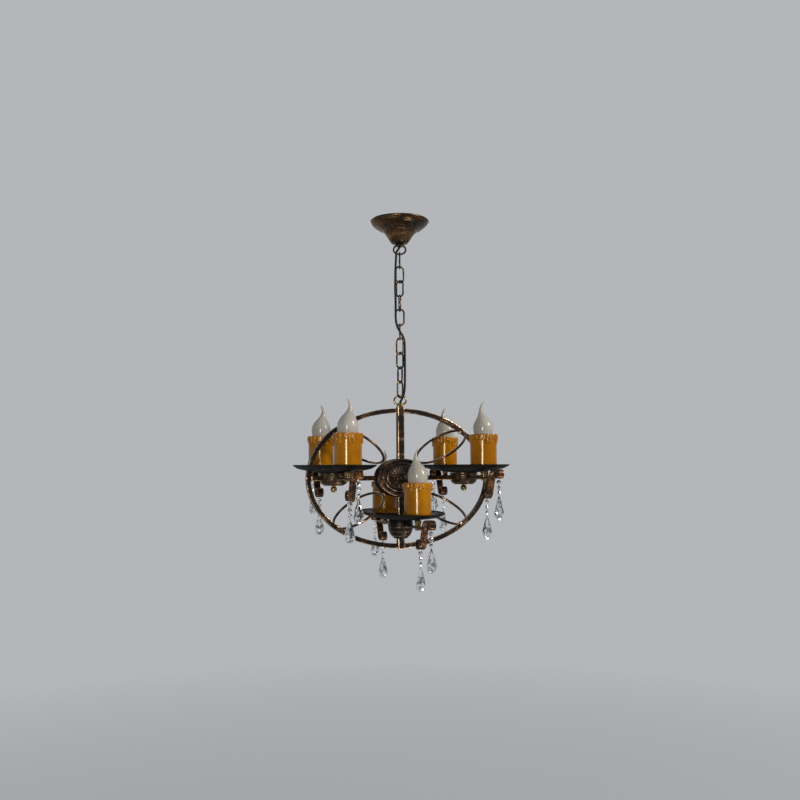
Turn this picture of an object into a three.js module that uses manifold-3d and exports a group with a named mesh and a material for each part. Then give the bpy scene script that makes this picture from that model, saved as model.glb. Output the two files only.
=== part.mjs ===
// Six-light chandelier that hangs on a chain. Millimetres, +Z up.
// The origin is the centre of the ceiling plane that the mounting strap and the canopy stand against.
// The big ring lies in the XZ plane, and each tray holds a front and a rear candle along Y.

import * as THREE from 'three';
import { mergeVertices } from 'three/addons/utils/BufferGeometryUtils.js';
import Module from 'manifold-3d';

const wasm = await Module();
wasm.setup();

// Driving dimensions, shared clearances
const fitGap = 0.3;

// Ceiling set
const strapHalfLength = 46;
const strapWidth = 18;
const strapThickness = 2;
const strapPadLength = 15;
const strapDrop = 11;
const strapPlateauHalf = 17;
const strapScrewSlotLength = 9;
const strapScrewSlotWidth = 4.8;
const canopyRadius = 54;
const canopyFlangeDepth = 20;
const canopyNeckRadius = 30;
const canopyFootRadius = 14.5;
const canopyDepth = 44;
const canopyWall = 1.2;
const canopyCeilingGap = 0.4;
const nippleRadius = 5;
const nippleBore = 3.3;
const nippleAboveStrap = 2.5;
const nippleInCollar = 3;
const nutAcrossCorners = 19;
const nutHeight = 3.5;

// Suspension loops
const hangerTwist = -20;
const loopWire = 3.4;
const canopyLoopHalfWidth = 11.2;
const canopyLoopHalfHeight = 8.8;
const canopyCollarRadius = 8.2;
const canopyCollarHeight = 4.5;
const stemLoopHalfWidth = 10.8;
const stemLoopHalfHeight = 8.8;
const stemCollarRadius = 7.4;
const stemCollarHeight = 4;
const stemPlugLength = 4.4;
const loopArmAngle = 52;

// Chain
const linkWire = 3.2;
const linkLength = 33.2;
const linkWidth = 18.4;
const linkTwists = [90, 25, -38, 82, 0, 90, -36, 42, -60, 52];
const linkSides = 6;

// Lamp cable
const cableDiameter = 4.2;
const cableSteps = 46;
const cableAboveNipple = 3;
const cableAboveCrossTube = 8;

// Ring frame
const ringHalfWidth = 171;
const ringHalfHeight = 121.7;
const ringBar = 8.4;
const postWidth = 12.4;
const postWall = 1.3;
const postAboveRing = 5;
const postBelowRing = 1.6;
const crossTubeWidth = 8.6;
const hoopWire = 4.6;
const hoopHalfDepth = 50;
const hoopTilt = 10;
const hoopHubStandoff = 4.4;

// Hub
const hubHalfWidth = 47.6;
const hubHalfHeight = 35;
const hubRimDiameter = 6;
const hubPlateThickness = 2.4;
const hubRosetteRadius = 28;
const hubBossRadius = 8.5;
const hubBossHeight = 8;
const hubFluteDepth = 1.2;
const hubFlutes = 16;

// Trays
const trayInset = 46;
const lowerTrayDrop = 84;
const trayHalfWidth = 67;
const trayHalfLength = 135;
const trayDepth = 16;
const trayWall = 1.2;
const ringNotchWidth = 9.6;
const ringNotchClear = 6;

// Tray carriers
const cupRadius = 25.5;
const cupRimAboveTube = 8.7;
const cupDepth = 12.5;
const cupWall = 1.6;
const lowerCupRadius = 23;
const lowerCupDepth = 24;
const armThickness = 3;
const stripWidth = 12.7;
const stripThickness = 2.6;
const legReach = 110;
const legFoot = -27;
const legLength = 34;
const legAngle = 70;
const footArcRadius = 12;
const footRollRadius = 7.5;
const footRollTurn = 270;
const shoulderArcRadius = 14;
const shoulderRun = 12;
const headRollRadius = 6.7;
const headRollTurn = 290;
const standoffRadius = 6;
const finialRadius = 5.8;
const finialNeckRadius = 3;
const finialStemRadius = 3.4;

// Candles
const candleReach = 87;
const candleRadius = 23.6;
const candleBore = 19.2;
const candleTop = 76.8;
const collarProud = 2.7;
const collarDepth = 11;
const dripDepth = 7;
const dripCount = 8;
const holderRadius = 11;
const holderHeight = 36;
const capClearance = 0.5;
const holderBore = 7.4;
const holderBoreDepth = 24;
const holderStemRadius = 4;

// Bulbs
const bulbRadius = 17.8;
const bulbHeight = 59;
const bulbWidestHeight = 12;
const bulbTipLean = 3.4;
const bulbTurns = [345, 330, 160, 150, 170, 290];

// Crystal pendants
const pendantLength = 75;
const pinRadius = 0.7;
const pinHeadRadius = 1.8;
const pinSlotWidth = 2.2;
const pinSlotLength = 5.2;
const pinLength = 6;
const beadCount = 3;
const beadRadius = 4.6;
const beadPitch = 9;
const dropWidth = 19;
const crystalFlatness = 0.62;

const degree = Math.PI / 180;

// Rise of a tray's upper face, as a share of its bowl, at a share of the way out to the rim.
const trayCurve = [[0, 0], [0.3, 0], [0.5, 0.18], [0.7, 0.36], [0.88, 0.58], [1, 1]];

function trayRise(share) {
  const next = trayCurve.findIndex(([place]) => place >= share);
  const [fromPlace, fromRise] = trayCurve[Math.max(next - 1, 0)];
  const [toPlace, toRise] = trayCurve[next];
  return fromRise + ((toRise - fromRise) * (share - fromPlace)) / Math.max(toPlace - fromPlace, 1e-9);
}

function trayUpper(share) {
  return trayFloor + trayWall + trayRise(share) * (trayDepth - 2 * trayWall);
}

function trayUnder(share) {
  return trayFloor + trayRise(share) * (trayDepth - 2.2 * trayWall);
}

// Places that follow from the sizes above
const traySpread = ringHalfWidth - trayInset;
const bulbCapRadius = holderBore - capClearance;
const loopToLink = (loopWire + linkWire) / 2 + fitGap;
const linkToLink = linkWire + fitGap;
const linkHalf = (linkLength - linkWire) / 2;
const linkPitch = 2 * linkHalf - linkToLink;
const canopyFoot = -canopyDepth;
const canopyCollarFoot = canopyFoot - fitGap - canopyCollarHeight;
const armDrop = canopyLoopHalfHeight * Math.sin(loopArmAngle * degree);
const canopyLoopCentre = canopyCollarFoot + 1.5 - armDrop;
const canopyLoopBottom = canopyLoopCentre - canopyLoopHalfHeight;
const firstLinkTop = canopyLoopBottom + loopToLink;
const lastLinkBottom = firstLinkTop - (linkTwists.length - 1) * linkPitch - 2 * linkHalf;
const stemLoopTop = lastLinkBottom + loopToLink;
const stemLoopCentre = stemLoopTop - stemLoopHalfHeight;
const stemArmDrop = stemLoopHalfHeight * Math.sin(loopArmAngle * degree);
const stemCollarTop = stemLoopCentre - stemArmDrop + 1.5;
const postTop = stemCollarTop - stemCollarHeight - fitGap;
const ringCentre = postTop - postAboveRing - ringBar / 2 - ringHalfHeight;
const ringBottom = ringCentre - ringHalfHeight;
const postBottom = ringBottom - ringBar / 2 - postBelowRing;
const lowerTubeLevel = ringCentre - lowerTrayDrop;
const hubDiscOffset = postWidth / 2 + fitGap;
const trayFloor = cupRimAboveTube + fitGap;
const standoffTop = trayUnder((candleReach - standoffRadius) / trayHalfLength) - fitGap;
const holderFoot = trayUpper((candleReach + holderRadius) / trayHalfLength) + fitGap;
const candleFoot = trayUpper((candleReach + candleRadius) / trayHalfLength) + fitGap;

const bronze = { color: 0x3a2a1c, roughness: 0.42, metalness: 0.9 };
const blackIron = { color: 0x141312, roughness: 0.5, metalness: 0.6 };
const brass = { color: 0x9a7436, roughness: 0.35, metalness: 0.9 };
const steel = { color: 0x8b8d90, roughness: 0.4, metalness: 0.9 };
const wax = { color: 0xb8700f, roughness: 0.25, metalness: 0 };
const frosted = { color: 0xdcd8d0, roughness: 0.5, metalness: 0 };
const crystal = { color: 0xe8eef0, roughness: 0.05, metalness: 0 };
const cableBlack = { color: 0x100f10, roughness: 0.6, metalness: 0 };
const porcelain = { color: 0xd9d3c4, roughness: 0.6, metalness: 0 };

// Only positions, with shared corners, no collapsed faces, and the faces pointing out.
function clean(geometry) {
  const bare = geometry.clone();
  bare.deleteAttribute('normal');
  bare.deleteAttribute('uv');
  const merged = mergeVertices(bare, 1e-4);
  const kept = [];
  const source = merged.index.array;
  for (let i = 0; i < source.length; i += 3) {
    const [a, b, c] = [source[i], source[i + 1], source[i + 2]];
    if (a !== b && b !== c && c !== a) kept.push(a, b, c);
  }
  merged.setIndex(kept);
  if (signedVolume(merged) < 0) {
    for (let i = 0; i < kept.length; i += 3) {
      [kept[i + 1], kept[i + 2]] = [kept[i + 2], kept[i + 1]];
    }
    merged.setIndex(kept);
  }
  return merged;
}

function signedVolume(geometry) {
  const position = geometry.attributes.position;
  const index = geometry.index.array;
  const a = new THREE.Vector3();
  const b = new THREE.Vector3();
  const c = new THREE.Vector3();
  let sum = 0;
  for (let i = 0; i < index.length; i += 3) {
    a.fromBufferAttribute(position, index[i]);
    b.fromBufferAttribute(position, index[i + 1]);
    c.fromBufferAttribute(position, index[i + 2]);
    sum += a.dot(b.cross(c)) / 6;
  }
  return sum;
}

function toSolid(geometry) {
  const merged = clean(geometry);
  return new wasm.Manifold(
    new wasm.Mesh({
      numProp: 3,
      vertProperties: new Float32Array(merged.attributes.position.array),
      triVerts: new Uint32Array(merged.index.array),
    }),
  );
}

function toGeometry(solid) {
  const mesh = solid.getMesh();
  const geometry = new THREE.BufferGeometry();
  geometry.setAttribute('position', new THREE.BufferAttribute(new Float32Array(mesh.vertProperties), 3));
  geometry.setIndex(new THREE.BufferAttribute(new Uint32Array(mesh.triVerts), 1));
  return geometry;
}

function join(geometries) {
  return toGeometry(geometries.map(toSolid).reduce((sum, next) => sum.add(next)));
}

function cut(geometry, tools) {
  return toGeometry(tools.map(toSolid).reduce((rest, tool) => rest.subtract(tool), toSolid(geometry)));
}

// A skin over rings of points that all have the same count. An open row of rings gets end caps.
function loft(rings, closed = false) {
  const count = rings[0].length;
  const points = rings.flat();
  const index = [];
  const spans = closed ? rings.length : rings.length - 1;
  for (let i = 0; i < spans; i += 1) {
    const low = i * count;
    const high = ((i + 1) % rings.length) * count;
    for (let j = 0; j < count; j += 1) {
      const k = (j + 1) % count;
      index.push(low + j, low + k, high + k, low + j, high + k, high + j);
    }
  }
  if (!closed) {
    for (const [start, turn] of [[0, -1], [(rings.length - 1) * count, 1]]) {
      for (let j = 1; j < count - 1; j += 1) {
        const fan = [start, start + j, start + j + 1];
        index.push(...(turn > 0 ? fan : fan.reverse()));
      }
    }
  }
  const geometry = new THREE.BufferGeometry();
  geometry.setAttribute('position', new THREE.Float32BufferAttribute(points.flat(), 3));
  geometry.setIndex(index);
  return geometry;
}

// A solid of revolution about Z from [radius, height] pairs.
function revolve(profile, segments) {
  const points = profile.map(([radius, height]) => new THREE.Vector2(radius, height));
  return new THREE.LatheGeometry(points, segments).rotateX(Math.PI / 2);
}

// The same, for a wall whose profile closes on itself.
function revolveShell(profile, segments) {
  return revolve([...profile, profile[0]], segments);
}

function box(sizeX, sizeY, sizeZ, x = 0, y = 0, z = 0) {
  return new THREE.BoxGeometry(sizeX, sizeY, sizeZ).translate(x, y, z);
}

function rod(radius, bottom, top, segments = 16) {
  return revolve([[0, bottom], [radius, bottom], [radius, top], [0, top]], segments);
}

function ballProfile(radius, centre, steps, from = -90, to = 90) {
  const profile = [];
  for (let i = 0; i <= steps; i += 1) {
    const angle = (from + ((to - from) * i) / steps) * degree;
    profile.push([Math.max(radius * Math.cos(angle), 0), centre + radius * Math.sin(angle)]);
  }
  return profile;
}

// A bar bent round a flat path. place(t) gives a point and its outward direction for t from 0 to 1.
function bentBar(place, steps, section, flatNormal, closed) {
  const rings = [];
  const last = closed ? steps - 1 : steps;
  for (let i = 0; i <= last; i += 1) {
    const { point, outward } = place(i / steps);
    rings.push(
      section.map(([u, v]) =>
        point.clone().addScaledVector(outward, u).addScaledVector(flatNormal, v).toArray(),
      ),
    );
  }
  return loft(rings, closed);
}

function roundSection(diameter, sides) {
  return Array.from({ length: sides }, (_, i) => {
    const angle = ((i + 0.5) / sides) * 2 * Math.PI;
    return [(diameter / 2) * Math.cos(angle), (diameter / 2) * Math.sin(angle)];
  });
}

function rectangleSection(width, height) {
  const x = width / 2;
  const y = height / 2;
  return [[-x, -y], [x, -y], [x, y], [-x, y]];
}

// An ellipse round centre with half axes along two directions, from one angle to another.
function ellipsePath(centre, axisA, axisB, from = 0, to = 360) {
  return (t) => {
    const angle = (from + (to - from) * t) * degree;
    const point = centre
      .clone()
      .addScaledVector(axisA, Math.cos(angle))
      .addScaledVector(axisB, Math.sin(angle));
    const outward = axisA
      .clone()
      .multiplyScalar(Math.cos(angle) / axisA.lengthSq())
      .addScaledVector(axisB, Math.sin(angle) / axisB.lengthSq())
      .normalize();
    return { point, outward };
  };
}

const vector = (x, y, z) => new THREE.Vector3(x, y, z);

function part(name, geometry, look) {
  const shown = clean(geometry).toNonIndexed();
  shown.computeVertexNormals();
  const mesh = new THREE.Mesh(shown, new THREE.MeshStandardMaterial(look));
  mesh.name = name;
  return mesh;
}

// Ceiling strap: two pads against the ceiling and a lowered middle with the hole for the nipple.
function mountingStrap() {
  const outer = [
    [-strapHalfLength, 0],
    [-strapHalfLength + strapPadLength, 0],
    [-strapPlateauHalf, -strapDrop],
    [strapPlateauHalf, -strapDrop],
    [strapHalfLength - strapPadLength, 0],
    [strapHalfLength, 0],
  ];
  const shape = new THREE.Shape();
  outer.forEach(([x, z], i) => (i === 0 ? shape.moveTo(x, z) : shape.lineTo(x, z)));
  [...outer].reverse().forEach(([x, z]) => shape.lineTo(x, z - strapThickness));
  shape.closePath();
  const strap = new THREE.ExtrudeGeometry(shape, { depth: strapWidth, bevelEnabled: false });
  strap.rotateX(Math.PI / 2).translate(0, strapWidth / 2, 0);
  const slotPlace = strapHalfLength - strapPadLength / 2;
  const slotDepth = 4 * strapThickness;
  const slots = [-1, 1].map((side) =>
    box(strapScrewSlotLength, strapScrewSlotWidth, slotDepth, side * slotPlace, 0, -strapThickness / 2),
  );
  const hole = rod(nippleRadius + fitGap, -2 * strapDrop, 0);
  return part('mounting_strap', cut(strap, [hole, ...slots]), steel);
}

// The canopy is one spun shell: rolled edge, rounded flange, a step, and a tapering neck.
function canopy() {
  const flange = [];
  const flangeSteps = 3;
  const flangeTop = 3.5;
  for (let i = 0; i <= flangeSteps; i += 1) {
    const angle = (i / flangeSteps) * 62 * degree;
    const reach = canopyRadius - canopyNeckRadius - 1;
    flange.push([
      canopyRadius - (reach * (1 - Math.cos(angle))) / (1 - Math.cos(62 * degree)),
      -flangeTop - ((canopyFlangeDepth - flangeTop) * Math.sin(angle)) / Math.sin(62 * degree),
    ]);
  }
  const outer = [
    [canopyRadius - 0.4, -canopyCeilingGap],
    [canopyRadius + 0.7, -canopyCeilingGap - 1.4],
    ...flange,
    [canopyNeckRadius - 0.6, -canopyFlangeDepth - 1.4],
    [(canopyNeckRadius + canopyFootRadius) / 2, -canopyFlangeDepth - 0.5 * (canopyDepth - canopyFlangeDepth)],
    [canopyFootRadius + 2.2, -canopyDepth + 3.6],
    [canopyFootRadius, -canopyDepth + 1.1],
    [canopyFootRadius - 2.4, -canopyDepth],
    [nippleRadius + fitGap, -canopyDepth],
  ];
  const inner = outer
    .slice(0, -1)
    .map(([radius, height]) => [radius - canopyWall, Math.min(height + 0.7 * canopyWall, -canopyCeilingGap)])
    .slice(1)
    .reverse();
  const shell = [
    ...outer,
    [nippleRadius + fitGap, -canopyDepth + canopyWall],
    ...inner.map(([radius, height]) => [radius, Math.max(height, -canopyDepth + canopyWall)]),
    [canopyRadius - 0.4 - canopyWall, -canopyCeilingGap],
  ];
  return part('canopy', revolveShell(shell, 24), bronze);
}

function canopyNipple() {
  const top = -strapDrop + nippleAboveStrap;
  const bottom = canopyFoot - fitGap - nippleInCollar;
  const wall = [
    [nippleRadius, bottom],
    [nippleRadius, top],
    [nippleBore, top],
    [nippleBore, bottom],
  ];
  return part('canopy_nipple', revolveShell(wall, 16), steel);
}

function nippleNut() {
  const bottom = canopyFoot + canopyWall + fitGap;
  const corner = nutAcrossCorners / 2;
  const hexagon = revolve(
    [[0, bottom], [corner, bottom], [corner, bottom + nutHeight], [0, bottom + nutHeight]],
    6,
  );
  const hole = rod(nippleRadius + fitGap, bottom - 1, bottom + nutHeight + 1);
  return part('nipple_nut', cut(hexagon, [hole]), steel);
}

// A wire loop on a bored collar. The arms start on the collar and go round under or over it.
function suspensionLoop(name, size, look) {
  const { centre, halfWidth, halfHeight, collar, up } = size;
  const path = ellipsePath(
    vector(0, 0, centre),
    vector(halfWidth, 0, 0),
    vector(0, 0, -up * halfHeight),
    -loopArmAngle,
    180 + loopArmAngle,
  );
  const arms = bentBar(path, 16, roundSection(loopWire, 6), vector(0, 1, 0), false);
  return part(name, cut(join([arms, ...collar]), size.bores), look);
}

function canopyLoop() {
  const top = canopyFoot - fitGap;
  const collar = revolve(
    [
      [0, canopyCollarFoot],
      [canopyCollarRadius - 1, canopyCollarFoot],
      [canopyCollarRadius, canopyCollarFoot + 1],
      [canopyCollarRadius, top],
      [0, top],
    ],
    16,
  );
  const size = {
    centre: canopyLoopCentre,
    halfWidth: canopyLoopHalfWidth,
    halfHeight: canopyLoopHalfHeight,
    collar: [collar],
    up: 1,
    bores: [
      rod(nippleRadius + fitGap, top - nippleInCollar - fitGap, top + 1),
      rod(nippleBore, canopyCollarFoot - 4, top),
    ],
  };
  return suspensionLoop('canopy_loop', size, bronze);
}

function stemLoop() {
  const foot = stemCollarTop - stemCollarHeight;
  const collar = revolve(
    [
      [0, foot],
      [stemCollarRadius, foot],
      [stemCollarRadius, stemCollarTop - 1],
      [stemCollarRadius - 1, stemCollarTop],
      [0, stemCollarTop],
    ],
    16,
  );
  const plugWidth = postWidth - 2 * postWall - 2 * fitGap;
  const plugBottom = postTop - stemPlugLength;
  const plug = box(plugWidth, plugWidth, foot + 1 - plugBottom, 0, 0, (foot + 1 + plugBottom) / 2);
  plug.rotateZ(-hangerTwist * degree);
  const size = {
    centre: stemLoopCentre,
    halfWidth: stemLoopHalfWidth,
    halfHeight: stemLoopHalfHeight,
    collar: [collar, plug],
    up: -1,
    bores: [rod(cableDiameter / 2 + 2 * fitGap, plugBottom - 1, stemCollarTop + 4)],
  };
  return suspensionLoop('stem_loop', size, brass);
}

// One chain link round its own centre: two straight sides and two half-circle ends of round wire.
function linkGeometry() {
  const endRadius = (linkWidth - linkWire) / 2;
  const straight = linkHalf - endRadius;
  const endSteps = 7;
  const places = [];
  for (const side of [1, -1]) {
    for (let i = 0; i <= endSteps; i += 1) {
      const angle = (side > 0 ? 0 : Math.PI) + (i / endSteps) * Math.PI;
      const outward = vector(Math.cos(angle), 0, Math.sin(angle));
      const point = vector(endRadius * outward.x, 0, side * straight + endRadius * outward.z);
      places.push({ point, outward });
    }
  }
  const place = (t) => places[Math.round(t * places.length)];
  return bentBar(place, places.length, roundSection(linkWire, linkSides), vector(0, 1, 0), true);
}

function chainLinks() {
  const geometry = linkGeometry();
  return linkTwists.map((twist, i) => {
    const link = part(`chain_link_${i + 1}`, geometry, bronze);
    link.position.z = firstLinkTop - linkHalf - i * linkPitch;
    link.rotation.z = twist * degree;
    return link;
  });
}

// The lamp cable leaves the nipple, runs down the left of the chain, goes through the sixth link
// and on down its right side, and goes through the lower loop into the post.
function lampCable() {
  const linkCentre = (number) => firstLinkTop - linkHalf - (number - 1) * linkPitch;
  const top = -strapDrop + nippleAboveStrap + cableAboveNipple;
  const bottom = ringCentre + crossTubeWidth / 2 + cableAboveCrossTube;
  const route = [
    [0, 0, top],
    [0, 0, -26],
    [0, 0, canopyCollarFoot + 1.5],
    [-0.9, -0.6, canopyCollarFoot - 2.5],
    [-4.6, -4.6, canopyLoopCentre - 3.5],
    [-6.2, -6.2, canopyLoopBottom - 1],
    [-6.8, -6, linkCentre(1)],
    [-7.8, -7, linkCentre(2) + 6],
    [-8, -6.9, linkCentre(2) - 6],
    [-8.2, -4.6, linkCentre(3)],
    [-7.6, -4.4, linkCentre(4)],
    [-7.6, -5.2, linkCentre(5) + 8],
    [-7.2, -5.2, linkCentre(5) - 6],
    [-4.4, -3.2, linkCentre(6) + 8.5],
    [0, -0.6, linkCentre(6) + 0.5],
    [4.8, 1, linkCentre(6) - 7],
    [8, 3, linkCentre(7) + 10],
    [8.8, 2.6, linkCentre(7) - 4],
    [9, 0.8, linkCentre(8)],
    [9, 0, linkCentre(9)],
    [8.6, -2.6, linkCentre(10) + 4],
    [7.4, -5.6, stemLoopTop + 5],
    [5.4, -5.8, stemLoopTop - 1.5],
    [1.6, -2, stemLoopCentre - 1],
    [0, 0, stemCollarTop + 1.5],
    [0, 0, stemCollarTop - 4],
    [0, 0, ringCentre + ringHalfHeight],
    [0, 0, bottom],
  ].map((point) => vector(...point));
  const path = new THREE.CatmullRomCurve3(route, false, 'centripetal');
  const shape = new THREE.Shape();
  roundSection(cableDiameter, 8).forEach(([x, y], i) => (i === 0 ? shape.moveTo(x, y) : shape.lineTo(x, y)));
  shape.closePath();
  const sweep = { steps: cableSteps, extrudePath: path, bevelEnabled: false };
  const geometry = new THREE.ExtrudeGeometry(shape, sweep);
  return part('lamp_cable', geometry, cableBlack);
}

// Where the ring passes at 45 degrees of its own angle, towards one of its four quarters.
function ringQuarter(sideX, sideZ) {
  const share = Math.SQRT1_2;
  return vector(sideX * ringHalfWidth * share, 0, ringCentre + sideZ * ringHalfHeight * share);
}

function hubQuarter(sideX, sideZ) {
  const share = Math.SQRT1_2;
  return vector(
    sideX * (hubHalfWidth * share + hoopHubStandoff),
    0,
    ringCentre + sideZ * (hubHalfHeight * share + hoopHubStandoff * (hubHalfHeight / hubHalfWidth)),
  );
}

// A closed oval of round wire from the ring to the hub, standing out to the front and the rear.
function hoop(sideX, sideZ) {
  const outer = ringQuarter(sideX, sideZ);
  const inner = hubQuarter(sideX, sideZ);
  const centre = outer.clone().add(inner).multiplyScalar(0.5);
  const along = outer.clone().sub(centre);
  const across = vector(along.z, 0, -along.x).normalize();
  if (across.x < 0) across.negate();
  const depth = vector(0, -hoopHalfDepth, 0).addScaledVector(across, hoopTilt);
  const flatNormal = along.clone().cross(depth).normalize();
  return bentBar(ellipsePath(centre, along, depth), 22, roundSection(hoopWire, 6), flatNormal, true);
}

function outerRing() {
  const centre = vector(0, 0, ringCentre);
  const path = ellipsePath(centre, vector(ringHalfWidth, 0, 0), vector(0, 0, ringHalfHeight));
  const bar = bentBar(path, 60, rectangleSection(ringBar, ringBar), vector(0, 1, 0), true);
  const hoops = [[1, 1], [-1, 1], [-1, -1], [1, -1]].map(([x, z]) => hoop(x, z));
  const top = ringCentre + ringHalfHeight;
  const cableHole = rod(cableDiameter / 2 + 2 * fitGap, top - ringBar, top + ringBar, 12);
  return part('outer_ring', cut(join([bar, ...hoops]), [cableHole]), bronze);
}

// The post is a square tube with windows for the ring bar at both ends and for the cross tube.
function post() {
  const height = postTop - postBottom;
  const middle = (postTop + postBottom) / 2;
  const bore = postWidth - 2 * postWall;
  const windowFor = (size, z) => box(2 * postWidth, size + 2 * fitGap, size + 2 * fitGap, 0, 0, z);
  const tube = cut(box(postWidth, postWidth, height, 0, 0, middle), [
    box(bore, bore, height + 2, 0, 0, middle),
    windowFor(ringBar, ringCentre + ringHalfHeight),
    windowFor(ringBar, ringBottom),
    windowFor(crossTubeWidth, ringCentre),
  ]);
  return part('post', tube, bronze);
}

function crossTube() {
  const halfLength = ringHalfWidth - ringBar / 2 - 1.5 * fitGap;
  const bore = crossTubeWidth - 2 * postWall;
  const tube = cut(box(2 * halfLength, crossTubeWidth, crossTubeWidth, 0, 0, ringCentre), [
    box(2 * halfLength + 2, bore, bore, 0, 0, ringCentre),
  ]);
  return part('cross_tube', tube, bronze);
}

// Hub disc in its own frame: back face at height 0, turned about Z, then pressed to an oval.
function hubDisc(profile, segments, flutes) {
  const disc = revolve(profile, segments);
  const position = disc.attributes.position;
  for (let i = 0; flutes && i < position.count; i += 1) {
    const radius = Math.hypot(position.getX(i), position.getY(i));
    const inRosette = radius > hubBossRadius + 3 && radius < hubRosetteRadius - 0.5;
    if (inRosette && position.getZ(i) > 0.5) {
      const angle = Math.atan2(position.getY(i), position.getX(i));
      position.setZ(i, position.getZ(i) + hubFluteDepth * Math.cos(flutes * angle));
    }
  }
  return disc.scale(1, hubHalfHeight / hubHalfWidth, 1);
}

function hubDiscProfile() {
  const rimRadius = hubHalfWidth - hubRimDiameter / 2;
  const rimCentre = hubRimDiameter / 2;
  return [
    [0, 0],
    [rimRadius, 0],
    [hubHalfWidth, rimCentre],
    [rimRadius + 1.6, hubRimDiameter - 0.4],
    [rimRadius - 2.4, hubRimDiameter - 0.8],
    [rimRadius - 3.4, hubPlateThickness],
  ];
}

function hubFront() {
  const rosetteLip = hubPlateThickness + 2;
  const profile = [
    ...hubDiscProfile(),
    [hubRosetteRadius + 1.5, hubPlateThickness + 0.6],
    [hubRosetteRadius, rosetteLip],
    [hubRosetteRadius - 1.5, hubPlateThickness + 0.8],
    [(hubRosetteRadius + hubBossRadius) / 2 + 2, hubPlateThickness + 1.8],
    [hubBossRadius + 3.5, hubPlateThickness + 2.6],
    [hubBossRadius + 2, hubPlateThickness + 4.2],
    [hubBossRadius - 2, hubPlateThickness + hubBossHeight - 2.4],
    [hubBossRadius / 2 - 1, hubPlateThickness + hubBossHeight - 0.6],
    [0, hubPlateThickness + hubBossHeight],
  ];
  const disc = part('hub_front', hubDisc(profile, 2 * hubFlutes, hubFlutes), bronze);
  disc.rotation.x = Math.PI / 2;
  disc.position.set(0, -hubDiscOffset, ringCentre);
  return disc;
}

function hubRear() {
  const profile = [
    ...hubDiscProfile(),
    [hubBossRadius + 1, hubPlateThickness + 0.8],
    [hubBossRadius - 2, hubPlateThickness + 3],
    [0, hubPlateThickness + 3.6],
  ];
  const disc = part('hub_rear', hubDisc(profile, 28, 0), bronze);
  disc.rotation.x = -Math.PI / 2;
  disc.position.set(0, hubDiscOffset, ringCentre);
  return disc;
}

// An oval dish in its own frame: height 0 is the level of the tubes under it.
function trayGeometry(openings) {
  const segments = 26;
  const oval = (share, height) =>
    Array.from({ length: segments }, (_, i) => {
      const angle = (i / segments) * 2 * Math.PI;
      return [share * trayHalfWidth * Math.cos(angle), share * trayHalfLength * Math.sin(angle), height];
    });
  const shares = trayCurve.map(([share]) => share).filter((share) => share > 0);
  const under = shares.map((share) => oval(share, trayUnder(share)));
  const upper = shares.map((share) => oval(share, trayUpper(share)));
  const dish = loft([...under, ...upper.reverse()]);
  const nippleHoles = [-1, 1].map((side) =>
    rod(holderStemRadius + fitGap, 0, 2 * candleFoot, 12).translate(0, side * candleReach, 0),
  );
  return cut(dish, [...nippleHoles, ...openings]);
}

function sideTray(name, side) {
  const reach = trayHalfWidth;
  const start = trayInset - ringBar / 2 - ringNotchClear;
  const notch = box(reach, ringNotchWidth, 4 * trayDepth, side * (start + reach / 2), 0, trayDepth);
  const tray = part(name, trayGeometry([notch]), blackIron);
  tray.position.set(side * traySpread, 0, ringCentre);
  return tray;
}

function lowerTray() {
  const opening = postWidth + 2 * fitGap;
  const tray = part('tray_lower', trayGeometry([box(opening, opening, 4 * trayDepth)]), blackIron);
  tray.position.set(0, 0, lowerTubeLevel);
  return tray;
}

// Walks a flat path: each step goes straight or turns on an arc, and the points are kept.
function tracePath(start, heading, steps) {
  let [y, z] = start;
  let angle = heading * degree;
  const trail = [{ y, z, angle }];
  for (const { run = 0, radius = 0, turn = 0, pieces = 1 } of steps) {
    for (let i = 0; i < pieces; i += 1) {
      const bend = (turn * degree) / pieces;
      const length = turn ? 2 * radius * Math.sin(Math.abs(bend) / 2) : run / pieces;
      angle += bend / 2;
      y += length * Math.cos(angle);
      z += length * Math.sin(angle);
      angle += bend / 2;
      trail.push({ y, z, angle });
    }
  }
  return trail;
}

// A flat strip rolled up at both ends, with a slanting leg between the rolls.
function scrollStrip() {
  const upward = tracePath([legReach, legFoot], legAngle, [
    { run: legLength },
    { radius: shoulderArcRadius, turn: -legAngle, pieces: 4 },
    { run: shoulderRun },
    { radius: headRollRadius, turn: -headRollTurn, pieces: 10 },
  ]);
  const downward = tracePath([legReach, legFoot], legAngle + 180, [
    { radius: footArcRadius, turn: -legAngle, pieces: 3 },
    { radius: footRollRadius, turn: -footRollTurn, pieces: 9 },
  ]);
  const trail = [
    ...downward.slice(1).reverse().map(({ y, z, angle }) => ({ y, z, angle: angle - Math.PI })),
    ...upward,
  ];
  const place = (t) => {
    const { y, z, angle } = trail[Math.round(t * (trail.length - 1))];
    return { point: vector(0, y, z), outward: vector(0, -Math.sin(angle), Math.cos(angle)) };
  };
  const section = rectangleSection(stripThickness, stripWidth);
  return bentBar(place, trail.length - 1, section, vector(1, 0, 0), false);
}

// Where the pins of the pendants go through the rolls: under the head roll and the foot roll.
function pendantSeats() {
  const rise = legLength * Math.sin(legAngle * degree);
  const run = legLength * Math.cos(legAngle * degree);
  const shoulderTop = legFoot + rise + shoulderArcRadius * (1 - Math.cos(legAngle * degree));
  const footBottom = legFoot - footArcRadius * (1 - Math.cos(legAngle * degree));
  const head = {
    y: legReach + run + shoulderArcRadius * Math.sin(legAngle * degree) + shoulderRun,
    z: shoulderTop - 2 * headRollRadius,
  };
  const foot = { y: legReach - footArcRadius * Math.sin(legAngle * degree), z: footBottom };
  return { head, foot };
}

const pinPivotAboveStrip = stripThickness / 2 + pinHeadRadius;

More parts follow.
